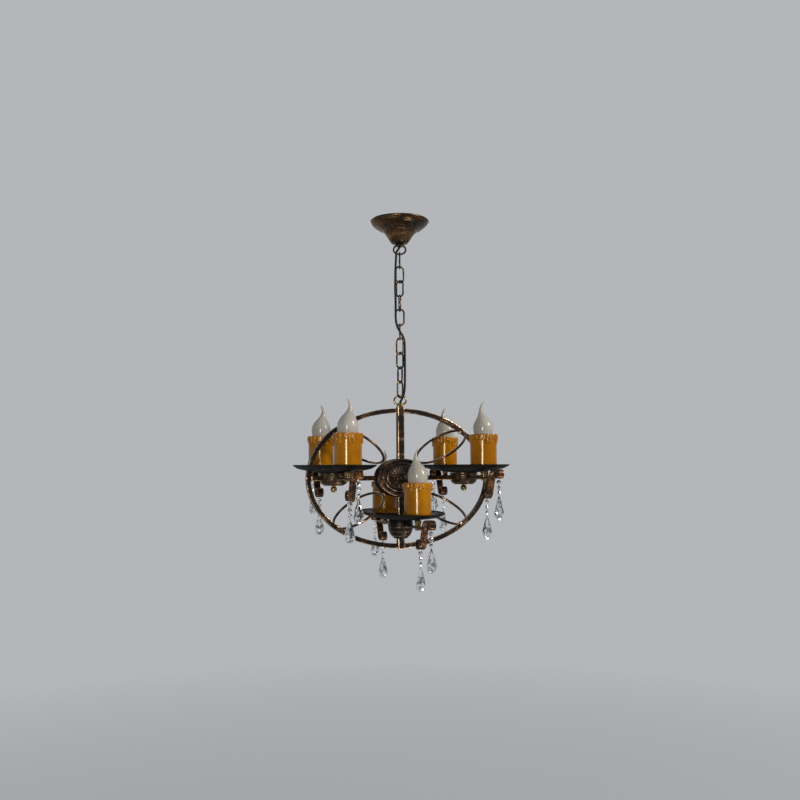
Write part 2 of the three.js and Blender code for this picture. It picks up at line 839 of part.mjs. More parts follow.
function pinSlots(side) {
  const { head, foot } = pendantSeats();
  return [head, foot].map(({ y, z }) =>
    box(pinSlotWidth, pinSlotLength, 3 * stripThickness, 0, side * y, z - stripThickness / 2),
  );
}

// Cup, arms and scroll brackets of one tray, welded into one piece, round the level of the tubes.
function carrier(name, cup, cupInnerReach, openings) {
  const pieces = [cup];
  const slots = [];
  const armEnd = legReach - (legFoot / Math.tan(legAngle * degree));
  for (const side of [-1, 1]) {
    const strip = scrollStrip();
    if (side < 0) strip.rotateZ(Math.PI);
    const armLength = armEnd - cupInnerReach;
    const arm = box(stripWidth, armLength, armThickness, 0, side * (cupInnerReach + armLength / 2), 0);
    const standoff = rod(standoffRadius, 0, standoffTop, 6).translate(0, side * candleReach, 0);
    pieces.push(strip, arm, standoff);
    slots.push(...pinSlots(side));
  }
  return part(name, cut(join(pieces), [...slots, ...openings]), bronze);
}

function cupProfile(radius, depth, rimHeight) {
  return [
    [finialStemRadius + fitGap, -depth],
    [0.7 * radius, -depth],
    [0.88 * radius, -0.78 * depth],
    [0.96 * radius, -0.35 * depth],
    [radius, rimHeight - 2],
    [radius, rimHeight],
    [radius - cupWall, rimHeight],
    [radius - cupWall, rimHeight - 2],
    [0.96 * radius - cupWall, -0.35 * depth],
    [0.88 * radius - cupWall, -0.78 * depth + 0.6 * cupWall],
    [0.7 * radius - 0.5, -depth + cupWall],
    [finialStemRadius + fitGap, -depth + cupWall],
  ];
}

function sideCarrier(name, side) {
  const cup = revolveShell(cupProfile(cupRadius, cupDepth, cupRimAboveTube), 18);
  const opening = crossTubeWidth + 2 * fitGap;
  const body = carrier(name, cup, cupRadius - cupWall, [box(4 * cupRadius, opening, opening)]);
  body.position.set(side * traySpread, 0, ringCentre);
  return body;
}

function lowerCarrier() {
  const cup = revolve(
    [
      [0, -lowerCupDepth],
      [postWidth, -lowerCupDepth],
      [0.76 * lowerCupRadius, -0.78 * lowerCupDepth],
      [0.95 * lowerCupRadius, -0.42 * lowerCupDepth],
      [lowerCupRadius, 0],
      [0.96 * lowerCupRadius, cupRimAboveTube - 2],
      [0.9 * lowerCupRadius, cupRimAboveTube],
      [0, cupRimAboveTube],
    ],
    24,
  );
  const opening = postWidth + 2 * fitGap;
  const body = carrier('carrier_lower', cup, opening / 2 + 1, [box(opening, opening, 4 * lowerCupDepth)]);
  body.position.set(0, 0, lowerTubeLevel);
  return body;
}

// A turned knob under a side cup, with its stem up through the cup's floor.
function finial(name, side) {
  const shoulder = -cupDepth - fitGap;
  const ballCentre = shoulder - finialRadius - 0.5;
  const knob = [
    ...ballProfile(finialRadius, ballCentre, 5, -90, 55),
    [finialNeckRadius, shoulder - 1.2],
    [finialNeckRadius + 3, shoulder],
    [finialStemRadius, shoulder],
    [finialStemRadius, -cupDepth + cupWall + 2],
    [0, -cupDepth + cupWall + 2],
  ];
  const piece = part(name, revolve(knob, 10), brass);
  piece.position.set(side * traySpread, 0, ringCentre);
  return piece;
}

// Lampholder: a threaded stem through the tray and a round body with the socket for the bulb's cap.
function holderGeometry() {
  const bottom = standoffTop + fitGap;
  const top = holderFoot + holderHeight;
  return revolve(
    [
      [0, bottom],
      [holderStemRadius, bottom],
      [holderStemRadius, holderFoot],
      [holderRadius, holderFoot],
      [holderRadius, top],
      [holderBore, top],
      [holderBore, top - holderBoreDepth],
      [0, top - holderBoreDepth],
    ],
    10,
  );
}

// Candle sleeve: an open-ended wax tube with a thicker collar whose lower edge runs down in drips.
function sleeveGeometry(seed) {
  const segments = 3 * dripCount;
  const ringAt = (radiusAt, heightAt) =>
    Array.from({ length: segments }, (_, i) => {
      const angle = (i / segments) * 2 * Math.PI;
      return [radiusAt(i) * Math.cos(angle), radiusAt(i) * Math.sin(angle), heightAt(i)];
    });
  const drip = (i) => {
    const number = Math.floor(i / 3);
    const length = 0.35 + 0.65 * Math.abs(Math.sin(1.7 * number + seed));
    return i % 3 === 1 ? length : 0;
  };
  const edge = (i) => candleTop - collarDepth - dripDepth * drip(i);
  const outerAtEdge = (i) => candleRadius + collarProud * (i % 3 === 1 ? 0.75 : 0.55);
  return loft(
    [
      ringAt(() => candleBore, () => candleFoot),
      ringAt(() => candleRadius, () => candleFoot),
      ringAt(() => candleRadius, (i) => edge(i) - 1.2),
      ringAt(outerAtEdge, edge),
      ringAt(() => candleRadius + collarProud, () => candleTop - 1.5),
      ringAt(() => candleRadius + 0.4, () => candleTop),
      ringAt(() => candleBore, () => candleTop - 2.5),
    ],
    true,
  );
}

// Flame-shaped bulb: a screw cap, a glass body, and a drawn-out tip that leans over and back.
function bulbGeometry() {
  const sides = 10;
  const capFoot = holderFoot + holderHeight - holderBoreDepth + fitGap;
  const level = [
    [bulbCapRadius - 1, capFoot, 0],
    [bulbCapRadius, capFoot + 2, 0],
    [bulbCapRadius, holderFoot + holderHeight, 0],
    [0.7 * bulbRadius, candleTop - 14, 0],
    [0.93 * bulbRadius, candleTop - 1, 0],
    [bulbRadius, candleTop + bulbWidestHeight, 0],
    [0.85 * bulbRadius, candleTop + 0.37 * bulbHeight, 0],
    [0.54 * bulbRadius, candleTop + 0.52 * bulbHeight, 0.3],
    [0.28 * bulbRadius, candleTop + 0.65 * bulbHeight, 0.9],
    [0.13 * bulbRadius, candleTop + 0.82 * bulbHeight, 1],
    [0.05 * bulbRadius, candleTop + bulbHeight, -0.4],
  ];
  const rings = level.map(([radius, height, lean]) =>
    Array.from({ length: sides }, (_, i) => {
      const angle = (i / sides) * 2 * Math.PI;
      return [radius * Math.cos(angle) + lean * bulbTipLean, radius * Math.sin(angle), height];
    }),
  );
  return loft(rings);
}

// Pendant round its pivot: pin head, pin, faceted beads and a faceted drop, on one axis.
function pendantGeometry() {
  const sides = 6;
  const dropTop = -pinLength - beadCount * beadPitch;
  const dropHeight = pendantLength + dropTop;
  const levels = [
    [pinRadius, pinHeadRadius],
    [pinHeadRadius, 0],
    [pinRadius, -pinHeadRadius],
  ];
  for (let number = 0; number < beadCount; number += 1) {
    const top = -pinLength - beadPitch * number;
    levels.push([pinRadius, top]);
    levels.push([beadRadius, top - 0.32 * beadPitch]);
    levels.push([beadRadius, top - 0.68 * beadPitch]);
  }
  levels.push([pinRadius, dropTop]);
  levels.push([0.3 * dropWidth, dropTop - 0.36 * dropHeight]);
  levels.push([0.5 * dropWidth, dropTop - 0.66 * dropHeight]);
  levels.push([0.36 * dropWidth, dropTop - 0.9 * dropHeight]);
  levels.push([0.1 * dropWidth, dropTop - dropHeight]);
  const rings = levels.map(([radius, height]) =>
    Array.from({ length: sides }, (_, i) => {
      const angle = (i / sides) * 2 * Math.PI;
      const flat = radius > pinHeadRadius ? crystalFlatness : 1;
      return [radius * Math.cos(angle), flat * radius * Math.sin(angle), height];
    }),
  );
  return loft(rings);
}

const trayPlaces = [
  { name: 'left', x: -traySpread, z: ringCentre },
  { name: 'right', x: traySpread, z: ringCentre },
  { name: 'lower', x: 0, z: lowerTubeLevel },
];
const ends = [
  { name: 'front', side: -1 },
  { name: 'rear', side: 1 },
];

function placedCopies(prefix, geometryFor, look) {
  return trayPlaces.flatMap((tray, t) =>
    ends.map((end, e) => {
      const piece = part(`${prefix}_${tray.name}_${end.name}`, geometryFor(2 * t + e), look);
      piece.position.set(tray.x, end.side * candleReach, tray.z);
      return piece;
    }),
  );
}

function pendants() {
  const geometry = pendantGeometry();
  const seats = pendantSeats();
  return trayPlaces.flatMap((tray) =>
    ends.flatMap((end) =>
      Object.entries(seats).map(([roll, seat]) => {
        const piece = part(`pendant_${tray.name}_${end.name}_${roll}`, geometry, crystal);
        piece.position.set(tray.x, end.side * seat.y, tray.z + seat.z + pinPivotAboveStrip);
        return piece;
      }),
    ),
  );
}

const hanger = new THREE.Group();
hanger.rotation.z = hangerTwist * degree;
hanger.add(canopyLoop(), stemLoop(), lampCable(), ...chainLinks());

const chandelier = new THREE.Group();
chandelier.add(
  mountingStrap(),
  canopy(),
  canopyNipple(),
  nippleNut(),
  hanger,
  outerRing(),
  post(),
  crossTube(),
  hubFront(),
  hubRear(),
  sideTray('tray_left', -1),
  sideTray('tray_right', 1),
  lowerTray(),
  sideCarrier('carrier_left', -1),
  sideCarrier('carrier_right', 1),
  lowerCarrier(),
  finial('finial_left', -1),
  finial('finial_right', 1),
  ...placedCopies('lampholder', holderGeometry, porcelain),
  ...placedCopies('candle_sleeve', (number) => sleeveGeometry(1.3 * number), wax),
  ...placedCopies('bulb', (number) => bulbGeometry().rotateZ(bulbTurns[number] * degree), frosted),
  ...pendants(),
);

export default chandelier;
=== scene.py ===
import math
import random

import bpy
from mathutils import Matrix, Vector

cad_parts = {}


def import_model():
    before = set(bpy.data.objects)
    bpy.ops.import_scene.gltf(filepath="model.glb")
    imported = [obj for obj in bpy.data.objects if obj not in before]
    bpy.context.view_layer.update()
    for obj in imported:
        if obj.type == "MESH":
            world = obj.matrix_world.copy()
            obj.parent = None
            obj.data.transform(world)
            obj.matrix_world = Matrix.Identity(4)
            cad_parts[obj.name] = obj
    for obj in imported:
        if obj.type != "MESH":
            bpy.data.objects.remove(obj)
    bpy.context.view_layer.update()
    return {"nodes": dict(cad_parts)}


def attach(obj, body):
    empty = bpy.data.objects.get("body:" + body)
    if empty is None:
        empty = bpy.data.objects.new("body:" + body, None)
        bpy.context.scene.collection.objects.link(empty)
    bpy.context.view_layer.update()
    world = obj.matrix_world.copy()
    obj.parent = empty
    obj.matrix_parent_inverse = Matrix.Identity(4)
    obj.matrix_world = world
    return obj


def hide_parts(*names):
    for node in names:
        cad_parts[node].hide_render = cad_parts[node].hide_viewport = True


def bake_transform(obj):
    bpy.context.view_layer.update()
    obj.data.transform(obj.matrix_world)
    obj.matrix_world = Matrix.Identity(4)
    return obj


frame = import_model()

MM = 0.001
TAU = 2 * math.pi
TINY = 1e-6

# Driving sizes in millimetres, the same as in the CAD source
FIT_GAP = 0.3
CANOPY_DEPTH, CANOPY_COLLAR_HEIGHT, STEM_COLLAR_HEIGHT = 44, 4.5, 4
LOOP_WIRE, LOOP_HALF_HEIGHT, LOOP_ARM_ANGLE, LOOP_WELD = 3.4, 8.8, 52, 1.5
LINK_WIRE, LINK_HALF, LINK_WIDTH = 3.2, 15, 18.4
LINK_TWISTS = [90, 25, -38, 82, 0, 90, -36, 42, -60, 52]
HANGER_TWIST = -20
CABLE_DIAMETER, CABLE_ABOVE_CROSS_TUBE = 4.2, 8
RING_HALF_WIDTH, RING_HALF_HEIGHT, RING_BAR = 171, 121.7, 8.4
POST_WIDTH, POST_ABOVE_RING, POST_BELOW_RING = 12.4, 5, 1.6
CROSS_WIDTH, CROSS_HALF = 8.6, 166.35
HOOP_WIRE, HOOP_DEPTH, HOOP_TILT, HOOP_STANDOFF = 4.6, 50, 10, 4.4
HUB_WIDTH, HUB_HEIGHT, HUB_RIM = 47.6, 35, 3
TRAY_INSET, LOWER_TRAY_DROP = 46, 84
TRAY_WIDTH, TRAY_LENGTH, TRAY_DEPTH, TRAY_WALL = 67, 135, 16, 1.2
TRAY_CURVE = [(0, 0), (0.3, 0), (0.5, 0.18), (0.7, 0.36), (0.88, 0.58), (1, 1)]
CUP_RIM = 8.7
STRIP_WIDTH, STRIP_THICKNESS, ARM_THICKNESS = 12.7, 2.6, 3
LEG_START, LEG_ANGLE, LEG_LENGTH = (110, -27), 70, 34
CANDLE_REACH, CANDLE_RADIUS, CANDLE_BORE, CANDLE_FOOT, CANDLE_TOP = 87, 23.6, 19.2, 17.9, 76.8
BULB_TURNS = [345, 330, 160, 150, 170, 290]
PIN_HEAD = 1.8

# Centre line of the strip where a pendant's pin sits, at the head roll and at the foot roll
HEAD_SEAT, FOOT_SEAT = (146.784, 0.761), (98.724, -34.896)
PIVOT_ABOVE_STRIP = STRIP_THICKNESS / 2 + PIN_HEAD

# Heights down the hanging train, with the drop of a loop's arms rounded to a micrometre
ARM_DROP = round(LOOP_HALF_HEIGHT * math.sin(math.radians(LOOP_ARM_ANGLE)), 3)
LOOP_TO_LINK = (LOOP_WIRE + LINK_WIRE) / 2 + FIT_GAP
LINK_PITCH = 2 * LINK_HALF - LINK_WIRE - FIT_GAP
CANOPY_COLLAR_TOP = -CANOPY_DEPTH - FIT_GAP
CANOPY_COLLAR_FOOT = CANOPY_COLLAR_TOP - CANOPY_COLLAR_HEIGHT
CANOPY_LOOP_CENTRE = CANOPY_COLLAR_FOOT + LOOP_WELD - ARM_DROP
FIRST_LINK_TOP = CANOPY_LOOP_CENTRE - LOOP_HALF_HEIGHT + LOOP_TO_LINK
LAST_LINK_FOOT = FIRST_LINK_TOP - (len(LINK_TWISTS) - 1) * LINK_PITCH - 2 * LINK_HALF
STEM_LOOP_CENTRE = LAST_LINK_FOOT + LOOP_TO_LINK - LOOP_HALF_HEIGHT
STEM_COLLAR_TOP = STEM_LOOP_CENTRE - ARM_DROP + LOOP_WELD
STEM_COLLAR_FOOT = STEM_COLLAR_TOP - STEM_COLLAR_HEIGHT
POST_TOP = STEM_COLLAR_FOOT - FIT_GAP
RING_CENTRE = POST_TOP - POST_ABOVE_RING - RING_BAR / 2 - RING_HALF_HEIGHT
POST_BOTTOM = RING_CENTRE - RING_HALF_HEIGHT - RING_BAR / 2 - POST_BELOW_RING

CANOPY_LOOP = {"centre": CANOPY_LOOP_CENTRE, "half_width": 11.2, "up": 1,
               "collar": (CANOPY_COLLAR_FOOT, CANOPY_COLLAR_TOP), "radius": 8.2, "bore": 3.4}
STEM_LOOP = {"centre": STEM_LOOP_CENTRE, "half_width": 10.8, "up": -1,
             "collar": (STEM_COLLAR_FOOT, STEM_COLLAR_TOP), "radius": 7.4, "bore": 2.7}
HUB_OFFSET = POST_WIDTH / 2 + FIT_GAP
TRAY_FLOOR = CUP_RIM + FIT_GAP
TRAY_SPREAD = RING_HALF_WIDTH - TRAY_INSET
TRAYS = [("left", -TRAY_SPREAD, RING_CENTRE), ("right", TRAY_SPREAD, RING_CENTRE),
         ("lower", 0, RING_CENTRE - LOWER_TRAY_DROP)]
ENDS = [("front", -1), ("rear", 1)]
CANDLES = [(f"{name}_{end}", x, side, level) for name, x, level in TRAYS for end, side in ENDS]


# Camera


def make_camera():
    """The photo's view, a little from the left and from below."""
    azimuth, elevation, roll = math.radians(-20), math.radians(-4.3), math.radians(-0.2)
    distance, aim_above_ring, aim_left = 1578.8, 141.3, 0.2
    sensor, focal_pixels, picture_pixels = 36, 866.1, 800
    back = Vector((math.sin(azimuth) * math.cos(elevation), -math.cos(azimuth) * math.cos(elevation),
                   math.sin(elevation)))
    right = Vector((math.cos(azimuth), math.sin(azimuth), 0))
    up = back.cross(right)
    target = Vector((0, 0, RING_CENTRE + aim_above_ring)) - aim_left * right
    turned_right = right * math.cos(roll) + up * math.sin(roll)
    turned_up = up * math.cos(roll) - right * math.sin(roll)
    data = bpy.data.cameras.new("photo_camera")
    data.sensor_width = sensor
    data.lens = sensor * focal_pixels / picture_pixels
    data.clip_start = 0.05
    camera = bpy.data.objects.new("photo_camera", data)
    turn = Matrix((turned_right, turned_up, back)).transposed().to_4x4()
    camera.matrix_world = Matrix.Translation((target + back * distance) * MM) @ turn
    bpy.context.scene.collection.objects.link(camera)
    bpy.context.scene.camera = camera


make_camera()


# Mesh helpers, in millimetres


def mesh_object(name, verts, faces, material, sharp=38):
    """Smooth mesh whose edges above the sharp angle stay crisp. None leaves all of them smooth."""
    mesh = bpy.data.meshes.new(name)
    mesh.from_pydata([tuple(c * MM for c in v) for v in verts], [], faces)
    mesh.validate()
    mesh.materials.append(material)
    mesh.shade_smooth()
    if sharp is not None:
        mesh.set_sharp_from_angle(angle=math.radians(sharp))
    obj = bpy.data.objects.new(name, mesh)
    bpy.context.scene.collection.objects.link(obj)
    return obj


def piece(name, shape, look, body, slot_name, *nodes, sharp=38):
    """Adds a piece that moves with the body, in the given look, and hides the CAD nodes it stands for. The
    slot name is not used.
    """
    obj = mesh_object(name, *shape, look, sharp)
    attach(obj, body)
    if nodes:
        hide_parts(*nodes)


def loft(rings, closed_along=False, caps=True):
    count = len(rings[0])
    verts = [tuple(p) for ring in rings for p in ring]
    faces = []
    spans = len(rings) if closed_along else len(rings) - 1
    for i in range(spans):
        low, high = i * count, (i + 1) % len(rings) * count
        for j in range(count):
            k = (j + 1) % count
            faces.append((low + j, low + k, high + k, high + j))
    if caps and not closed_along:
        faces.append(tuple(range(count))[::-1])
        faces.append(tuple(range((len(rings) - 1) * count, len(rings) * count)))
    return verts, faces


def merge(*shapes):
    verts, faces = [], []
    for more_verts, more_faces in shapes:
        base = len(verts)
        verts += list(more_verts)
        faces += [tuple(base + i for i in face) for face in more_faces]
    return verts, faces


def moved(shape, matrix):
    verts, faces = shape
    return [tuple(matrix @ Vector(v)) for v in verts], faces


def at(x=0.0, y=0.0, z=0.0, turn=0.0):
    return Matrix.Translation((x, y, z)) @ Matrix.Rotation(math.radians(turn), 4, "Z")


def circle_section(radius, sides):
    return [(radius * math.cos(TAU * i / sides), radius * math.sin(TAU * i / sides)) for i in range(sides)]


def lathe(profile, segments, closed=False):
    """Surface about Z. An open profile starts and ends on the axis, and a closed one is a wall."""
    verts, faces, rows = [], [], []
    for radius, height in profile:
        if radius < TINY:
            rows.append([len(verts)] * segments)
            verts.append((0, 0, height))
            continue
        rows.append(list(range(len(verts), len(verts) + segments)))
        verts += [(x, y, height) for x, y in circle_section(radius, segments)]
    pairs = list(zip(rows, rows[1:]))
    if closed:
        pairs.append((rows[-1], rows[0]))
    for low, high in pairs:
        for i in range(segments):
            k = (i + 1) % segments
            face = tuple(dict.fromkeys((low[i], low[k], high[k], high[i])))
            if len(face) > 2:
                faces.append(face)
    return verts, faces


def rounded(profile, size, steps=3):
    """Softens the inner corners of a profile of [radius, height] points."""
    out = [profile[0]]
    for before, here, after in zip(profile, profile[1:], profile[2:]):
        p, q, r = Vector(before), Vector(here), Vector(after)
        a, b = (p - q), (r - q)
        if min(a.length, b.length) < TINY:
            continue
        reach = min(size, a.length * 0.45, b.length * 0.45)
        start, end = q + a.normalized() * reach, q + b.normalized() * reach
        for i in range(steps + 1):
            t = i / steps
            point = start * (1 - t) ** 2 + q * 2 * t * (1 - t) + end * t * t
            out.append((max(point.x, 0), point.y))
    out.append(profile[-1])
    return out


def bead_ring(radius, height, half_width, half_height, segments=72):
    """Raised bead that runs round a turned piece."""
    section = [(radius + half_width * x, height + half_height * y) for x, y in circle_section(1, 10)]
    return lathe(section, segments, closed=True)


def bar_section(width, height, corner):
    """Rectangle with rounded corners. The points along its flats keep the wear on the edges."""
    steps, mids = 3, 4
    arcs = []
    for k, (sx, sy) in enumerate([(1, 1), (-1, 1), (-1, -1), (1, -1)]):
        cx, cy = sx * (width / 2 - corner), sy * (height / 2 - corner)
        angles = [(k + i / steps) * TAU / 4 for i in range(steps + 1)]
        arcs.append([(cx + corner * math.cos(angle), cy + corner * math.sin(angle)) for angle in angles])
    points = []
    for arc, following in zip(arcs, arcs[1:] + arcs[:1]):
        (x0, y0), (x1, y1) = arc[-1], following[0]
        shares = [i / (mids + 1) for i in range(1, mids + 1)]
        points += arc + [(x0 + (x1 - x0) * share, y0 + (y1 - y0) * share) for share in shares]
    return points


def bar_stops(length, chamfer, shrink, margin, count):
    """Pairs of distance and shrink along a bar with chamfered ends. The rings between keep its wear even."""
    middle = [(margin + (length - 2 * margin) * i / (count - 1), 0) for i in range(count)]
    return [(0, shrink), (chamfer, 0)] + middle + [(length - chamfer, 0), (length, shrink)]


def flat_sweep(places, section, normal, closed):
    """places holds (point, outward) pairs of a flat path whose plane has this normal."""
    rings = [[point + outward * u + normal * v for u, v in section] for point, outward in places]
    return loft(rings, closed)


def ellipse_places(centre, axis_a, axis_b, steps, start=0.0, end=360.0):
    closed = abs(end - start) >= 360
    places = []
    for i in range(steps if closed else steps + 1):
        angle = math.radians(start + (end - start) * i / steps)
        point = centre + axis_a * math.cos(angle) + axis_b * math.sin(angle)
        outward = axis_a * (math.cos(angle) / axis_a.length_squared)
        outward = (outward + axis_b * (math.sin(angle) / axis_b.length_squared)).normalized()
        places.append((point, outward))
    return places


def tube_rings(path, radius, sides):
    """Round sections along a path, with the frame carried from point to point."""
    rings = []
    side = (path[1] - path[0]).normalized().orthogonal().normalized()
    for i, point in enumerate(path):
        tangent = (path[min(i + 1, len(path) - 1)] - path[max(i - 1, 0)]).normalized()
        side = (side - tangent * side.dot(tangent)).normalized()
        other = tangent.cross(side)
        rings.append([point + side * u + other * v for u, v in circle_section(radius, sides)])
    return rings


def prism(sides, radius, low, high, bevel=0.5, turn=0.0):
    inner = radius - bevel
    rings = []
    for r, z in ((inner, low), (radius, low + bevel), (radius, high - bevel), (inner, high)):
        angles = [TAU * i / sides + turn for i in range(sides)]
        rings.append([Vector((r * math.cos(angle), r * math.sin(angle), z)) for angle in angles])
    return loft(rings)


# Materials


class Nodes:
    """A node tree with short ways to add and join nodes."""

    def __init__(self, tree):
        self.tree = tree

    def add(self, kind, **settings):
        node = self.tree.nodes.new(kind)
        for key, value in settings.items():
            setattr(node, key, value)
        return node

    def link(self, source, target):
        self.tree.links.new(source, target)

    def feed(self, socket, value):
        """Joins the socket to another node's output, or gives it a number or a colour."""
        if isinstance(value, bpy.types.NodeSocket):
            self.link(value, socket)
        else:
            socket.default_value = (*value, 1) if isinstance(value, tuple) else value

    def ramp(self, source, *stops):
        node = self.add("ShaderNodeValToRGB")
        elements = node.color_ramp.elements
        while len(elements) < len(stops):
            elements.new(0.5)
        for element, (position, colour) in zip(elements, stops):
            element.position = position
            element.color = (*colour, 1) if isinstance(colour, tuple) else (colour, colour, colour, 1)
        self.link(source, node.inputs["Fac"])
        return node.outputs["Color"]

    def math(self, operation, a, b):
        node = self.add("ShaderNodeMath", operation=operation)
        self.feed(node.inputs[0], a)
        self.feed(node.inputs[1], b)
        return node.outputs[0]

    def any_ray(self, *kinds):
        """1 for a ray of one of these kinds, and 0 for the others."""
        rays = self.add("ShaderNodeLightPath").outputs
        answer = rays[f"Is {kinds[0]} Ray"]
        for kind in kinds[1:]:
            answer = self.math("MAXIMUM", answer, rays[f"Is {kind} Ray"])
        return answer

    def glow(self, kind, colour):
        node = self.add(kind)
        self.feed(node.inputs["Color"], colour)
        return node.outputs[0]

    def blend(self, share, first, second):
        node = self.add("ShaderNodeMixShader")
        for socket, source in zip(node.inputs, (share, first, second)):
            self.link(source, socket)
        return node.outputs[0]


class Look(Nodes):
    """A material, with the textures that the looks share."""

    def __init__(self, name):
        self.material = bpy.data.materials.new(name)
        self.material.use_nodes = True
        super().__init__(self.material.node_tree)
        self.shader = self.tree.nodes["Principled BSDF"]
        self.place = self.add("ShaderNodeTexCoord").outputs["Object"]

    def noise(self, scale, detail, roughness, stretch=None, distortion=0.0):
        node = self.add("ShaderNodeTexNoise")
        settings = {"Scale": scale, "Detail": detail, "Roughness": roughness, "Distortion": distortion}
        for key, value in settings.items():
            node.inputs[key].default_value = value
        source = self.place
        if stretch:
            mapping = self.add("ShaderNodeMapping")
            mapping.inputs["Scale"].default_value = stretch
            self.link(source, mapping.inputs["Vector"])
            source = mapping.outputs["Vector"]
        self.link(source, node.inputs["Vector"])
        return node.outputs["Fac"]

    def mix(self, factor, a, b):
        node = self.add("ShaderNodeMix", data_type="RGBA")
        for number, value in ((0, factor), (6, a), (7, b)):
            self.feed(node.inputs[number], value)
        return node.outputs[2]

    def edges(self, low, high):
        geometry = self.add("ShaderNodeNewGeometry")
        return self.ramp(geometry.outputs["Pointiness"], (low, 0.0), (high, 1.0))

    def bump(self, height, strength, distance):
        node = self.add("ShaderNodeBump")
        node.inputs["Strength"].default_value = strength
        node.inputs["Distance"].default_value = distance
        self.link(height, node.inputs["Height"])
        self.link(node.outputs["Normal"], self.shader.inputs["Normal"])

    def set(self, **values):
        for key, value in values.items():
            self.feed(self.shader.inputs[key.replace("_", " ")], value)


def bronze_look(name, dark, copper, gold, rubbed, edge_share=0.25, gloss=0.36, spread=0.1, patch=36,
                stretch=None):
    """Near-black bronze paint, rubbed through to copper and pale gold on edges and in small specks."""
    look = Look(name)
    patches = look.noise(patch, 5, 0.6, stretch=stretch, distortion=0.4)
    specks = look.noise(260, 6, 0.7, stretch=stretch)
    edge = look.edges(0.515, 0.57)
    worn = look.math("ADD", look.math("MULTIPLY", patches, 0.5), look.math("MULTIPLY", specks, 0.55))
    worn = look.math("ADD", worn, look.math("MULTIPLY", edge, edge_share))
    base = look.ramp(worn, (rubbed - 0.7 * spread, dark), (rubbed, copper), (rubbed + spread, gold))
    look.set(Base_Color=base, Metallic=look.ramp(worn, (rubbed - 0.08, 0.5), (rubbed + 0.04, 1.0)))
    look.set(Roughness=look.ramp(worn, (rubbed - 0.1, gloss), (rubbed + 0.1, 0.24)))
    look.set(Specular_IOR_Level=0.25)
    look.bump(specks, 0.3, 0.0006)
    return look.material


def black_tray_look():
    look = Look("black_tray_paint")
    bloom = look.noise(30, 5, 0.6)
    grain = look.noise(420, 3, 0.5)
    edge = look.edges(0.5, 0.58)
    base = look.ramp(bloom, (0.35, (0.005, 0.0046, 0.0042)), (0.7, (0.011, 0.0092, 0.0075)))
    base = look.mix(look.math("MULTIPLY", edge, 0.4), base, (0.06, 0.04, 0.022))
    look.set(Base_Color=base, Metallic=0.0, Specular_IOR_Level=0.045)
    look.set(Roughness=look.ramp(bloom, (0.3, 0.5), (0.75, 0.74)))
    look.bump(grain, 0.12, 0.0004)
    return look.material


def grained_look(name, patch, grain, colours, gloss, bump, **settings):
    """Finish whose colour goes by one noise, and whose gloss and grain go by a second one."""
    look = Look(name)
    fine = look.noise(*grain)
    look.set(Base_Color=look.ramp(look.noise(*patch), *colours), **settings)
    look.set(Roughness=look.ramp(fine, *gloss))
    look.bump(fine, *bump)
    return look.material


def brass_look(name, colour, dull):
    return grained_look(name, (70, 5, 0.6), (300, 3, 0.5, (1, 1, 0.15)), [(0.32, dull), (0.62, colour)],
                        [(0.3, 0.22), (0.8, 0.38)], (0.12, 0.0003), Metallic=0.95)


def wax_look():
    """Glossy amber candle plastic, cloudy, with a painted highlight: paler colour on the convex ridges of the
    runs of wax.
    """
    look = Look("amber_wax")
    cloud = look.noise(32, 5, 0.55, stretch=(1, 1, 0.45))
    fine = look.noise(190, 4, 0.6)
    edge = look.edges(0.49, 0.58)
    deep, amber, pale = (0.24, 0.078, 0.001), (0.34, 0.125, 0.0015), (0.43, 0.18, 0.003)
    base = look.ramp(cloud, (0.3, deep), (0.55, amber), (0.78, pale))
    # Painted highlight: the convex ridges of the runs and rims are mixed towards a paler amber.
    base = look.mix(look.math("MULTIPLY", edge, 0.5), base, (0.6, 0.27, 0.006))
    look.set(Base_Color=base, Subsurface_Weight=0.05, Subsurface_Scale=0.003, Specular_IOR_Level=0.4)
    look.shader.inputs["Subsurface Radius"].default_value = (1.0, 0.4, 0.05)
    look.set(Specular_Tint=(1.0, 0.86, 0.62))
    look.set(Roughness=look.ramp(fine, (0.3, 0.12), (0.75, 0.19)))
    look.bump(cloud, 0.08, 0.0012)
    return look.material


def frosted_look():
    """Milky glass: pale, smooth and softly translucent."""
    look = Look("frosted_glass")
    haze = look.noise(28, 3, 0.5)
    base = look.ramp(haze, (0.3, (0.36, 0.335, 0.285)), (0.7, (0.46, 0.43, 0.375)))
    look.set(Base_Color=base, Subsurface_Weight=0.3, Subsurface_Scale=0.006, Specular_IOR_Level=0.4)
    look.set(Roughness=look.ramp(haze, (0.3, 0.14), (0.8, 0.22)))
    return look.material


def crystal_look():
    """Clear cut glass, with dark and bright cells painted into its colour as painted facet reflections."""
    look = Look("cut_crystal")
    painted_facet_glints = look.add("ShaderNodeTexVoronoi", feature="F1")
    painted_facet_glints.inputs["Scale"].default_value = 210
    look.link(look.place, painted_facet_glints.inputs["Vector"])
    smear = look.noise(150, 3, 0.5)
    # Painted reflections: the dark and bright cells stand in for light and dark mirrored in the facets.
    shade = look.ramp(painted_facet_glints.outputs["Color"], (0.32, (0.2, 0.195, 0.18)), (0.4, (0.97, 0.985, 1.0)))
    look.set(Base_Color=shade, Transmission_Weight=1.0, IOR=1.56)
    look.set(Roughness=look.ramp(smear, (0.3, 0.0), (0.9, 0.03)))
    return look.material


def steel_look(name, low, high, roughness):
    return grained_look(name, (90, 5, 0.6), (500, 3, 0.5), [(0.3, low), (0.7, high)],
                        [(0.2, roughness), (0.8, roughness + 0.18)], (0.1, 0.0003), Metallic=1.0)


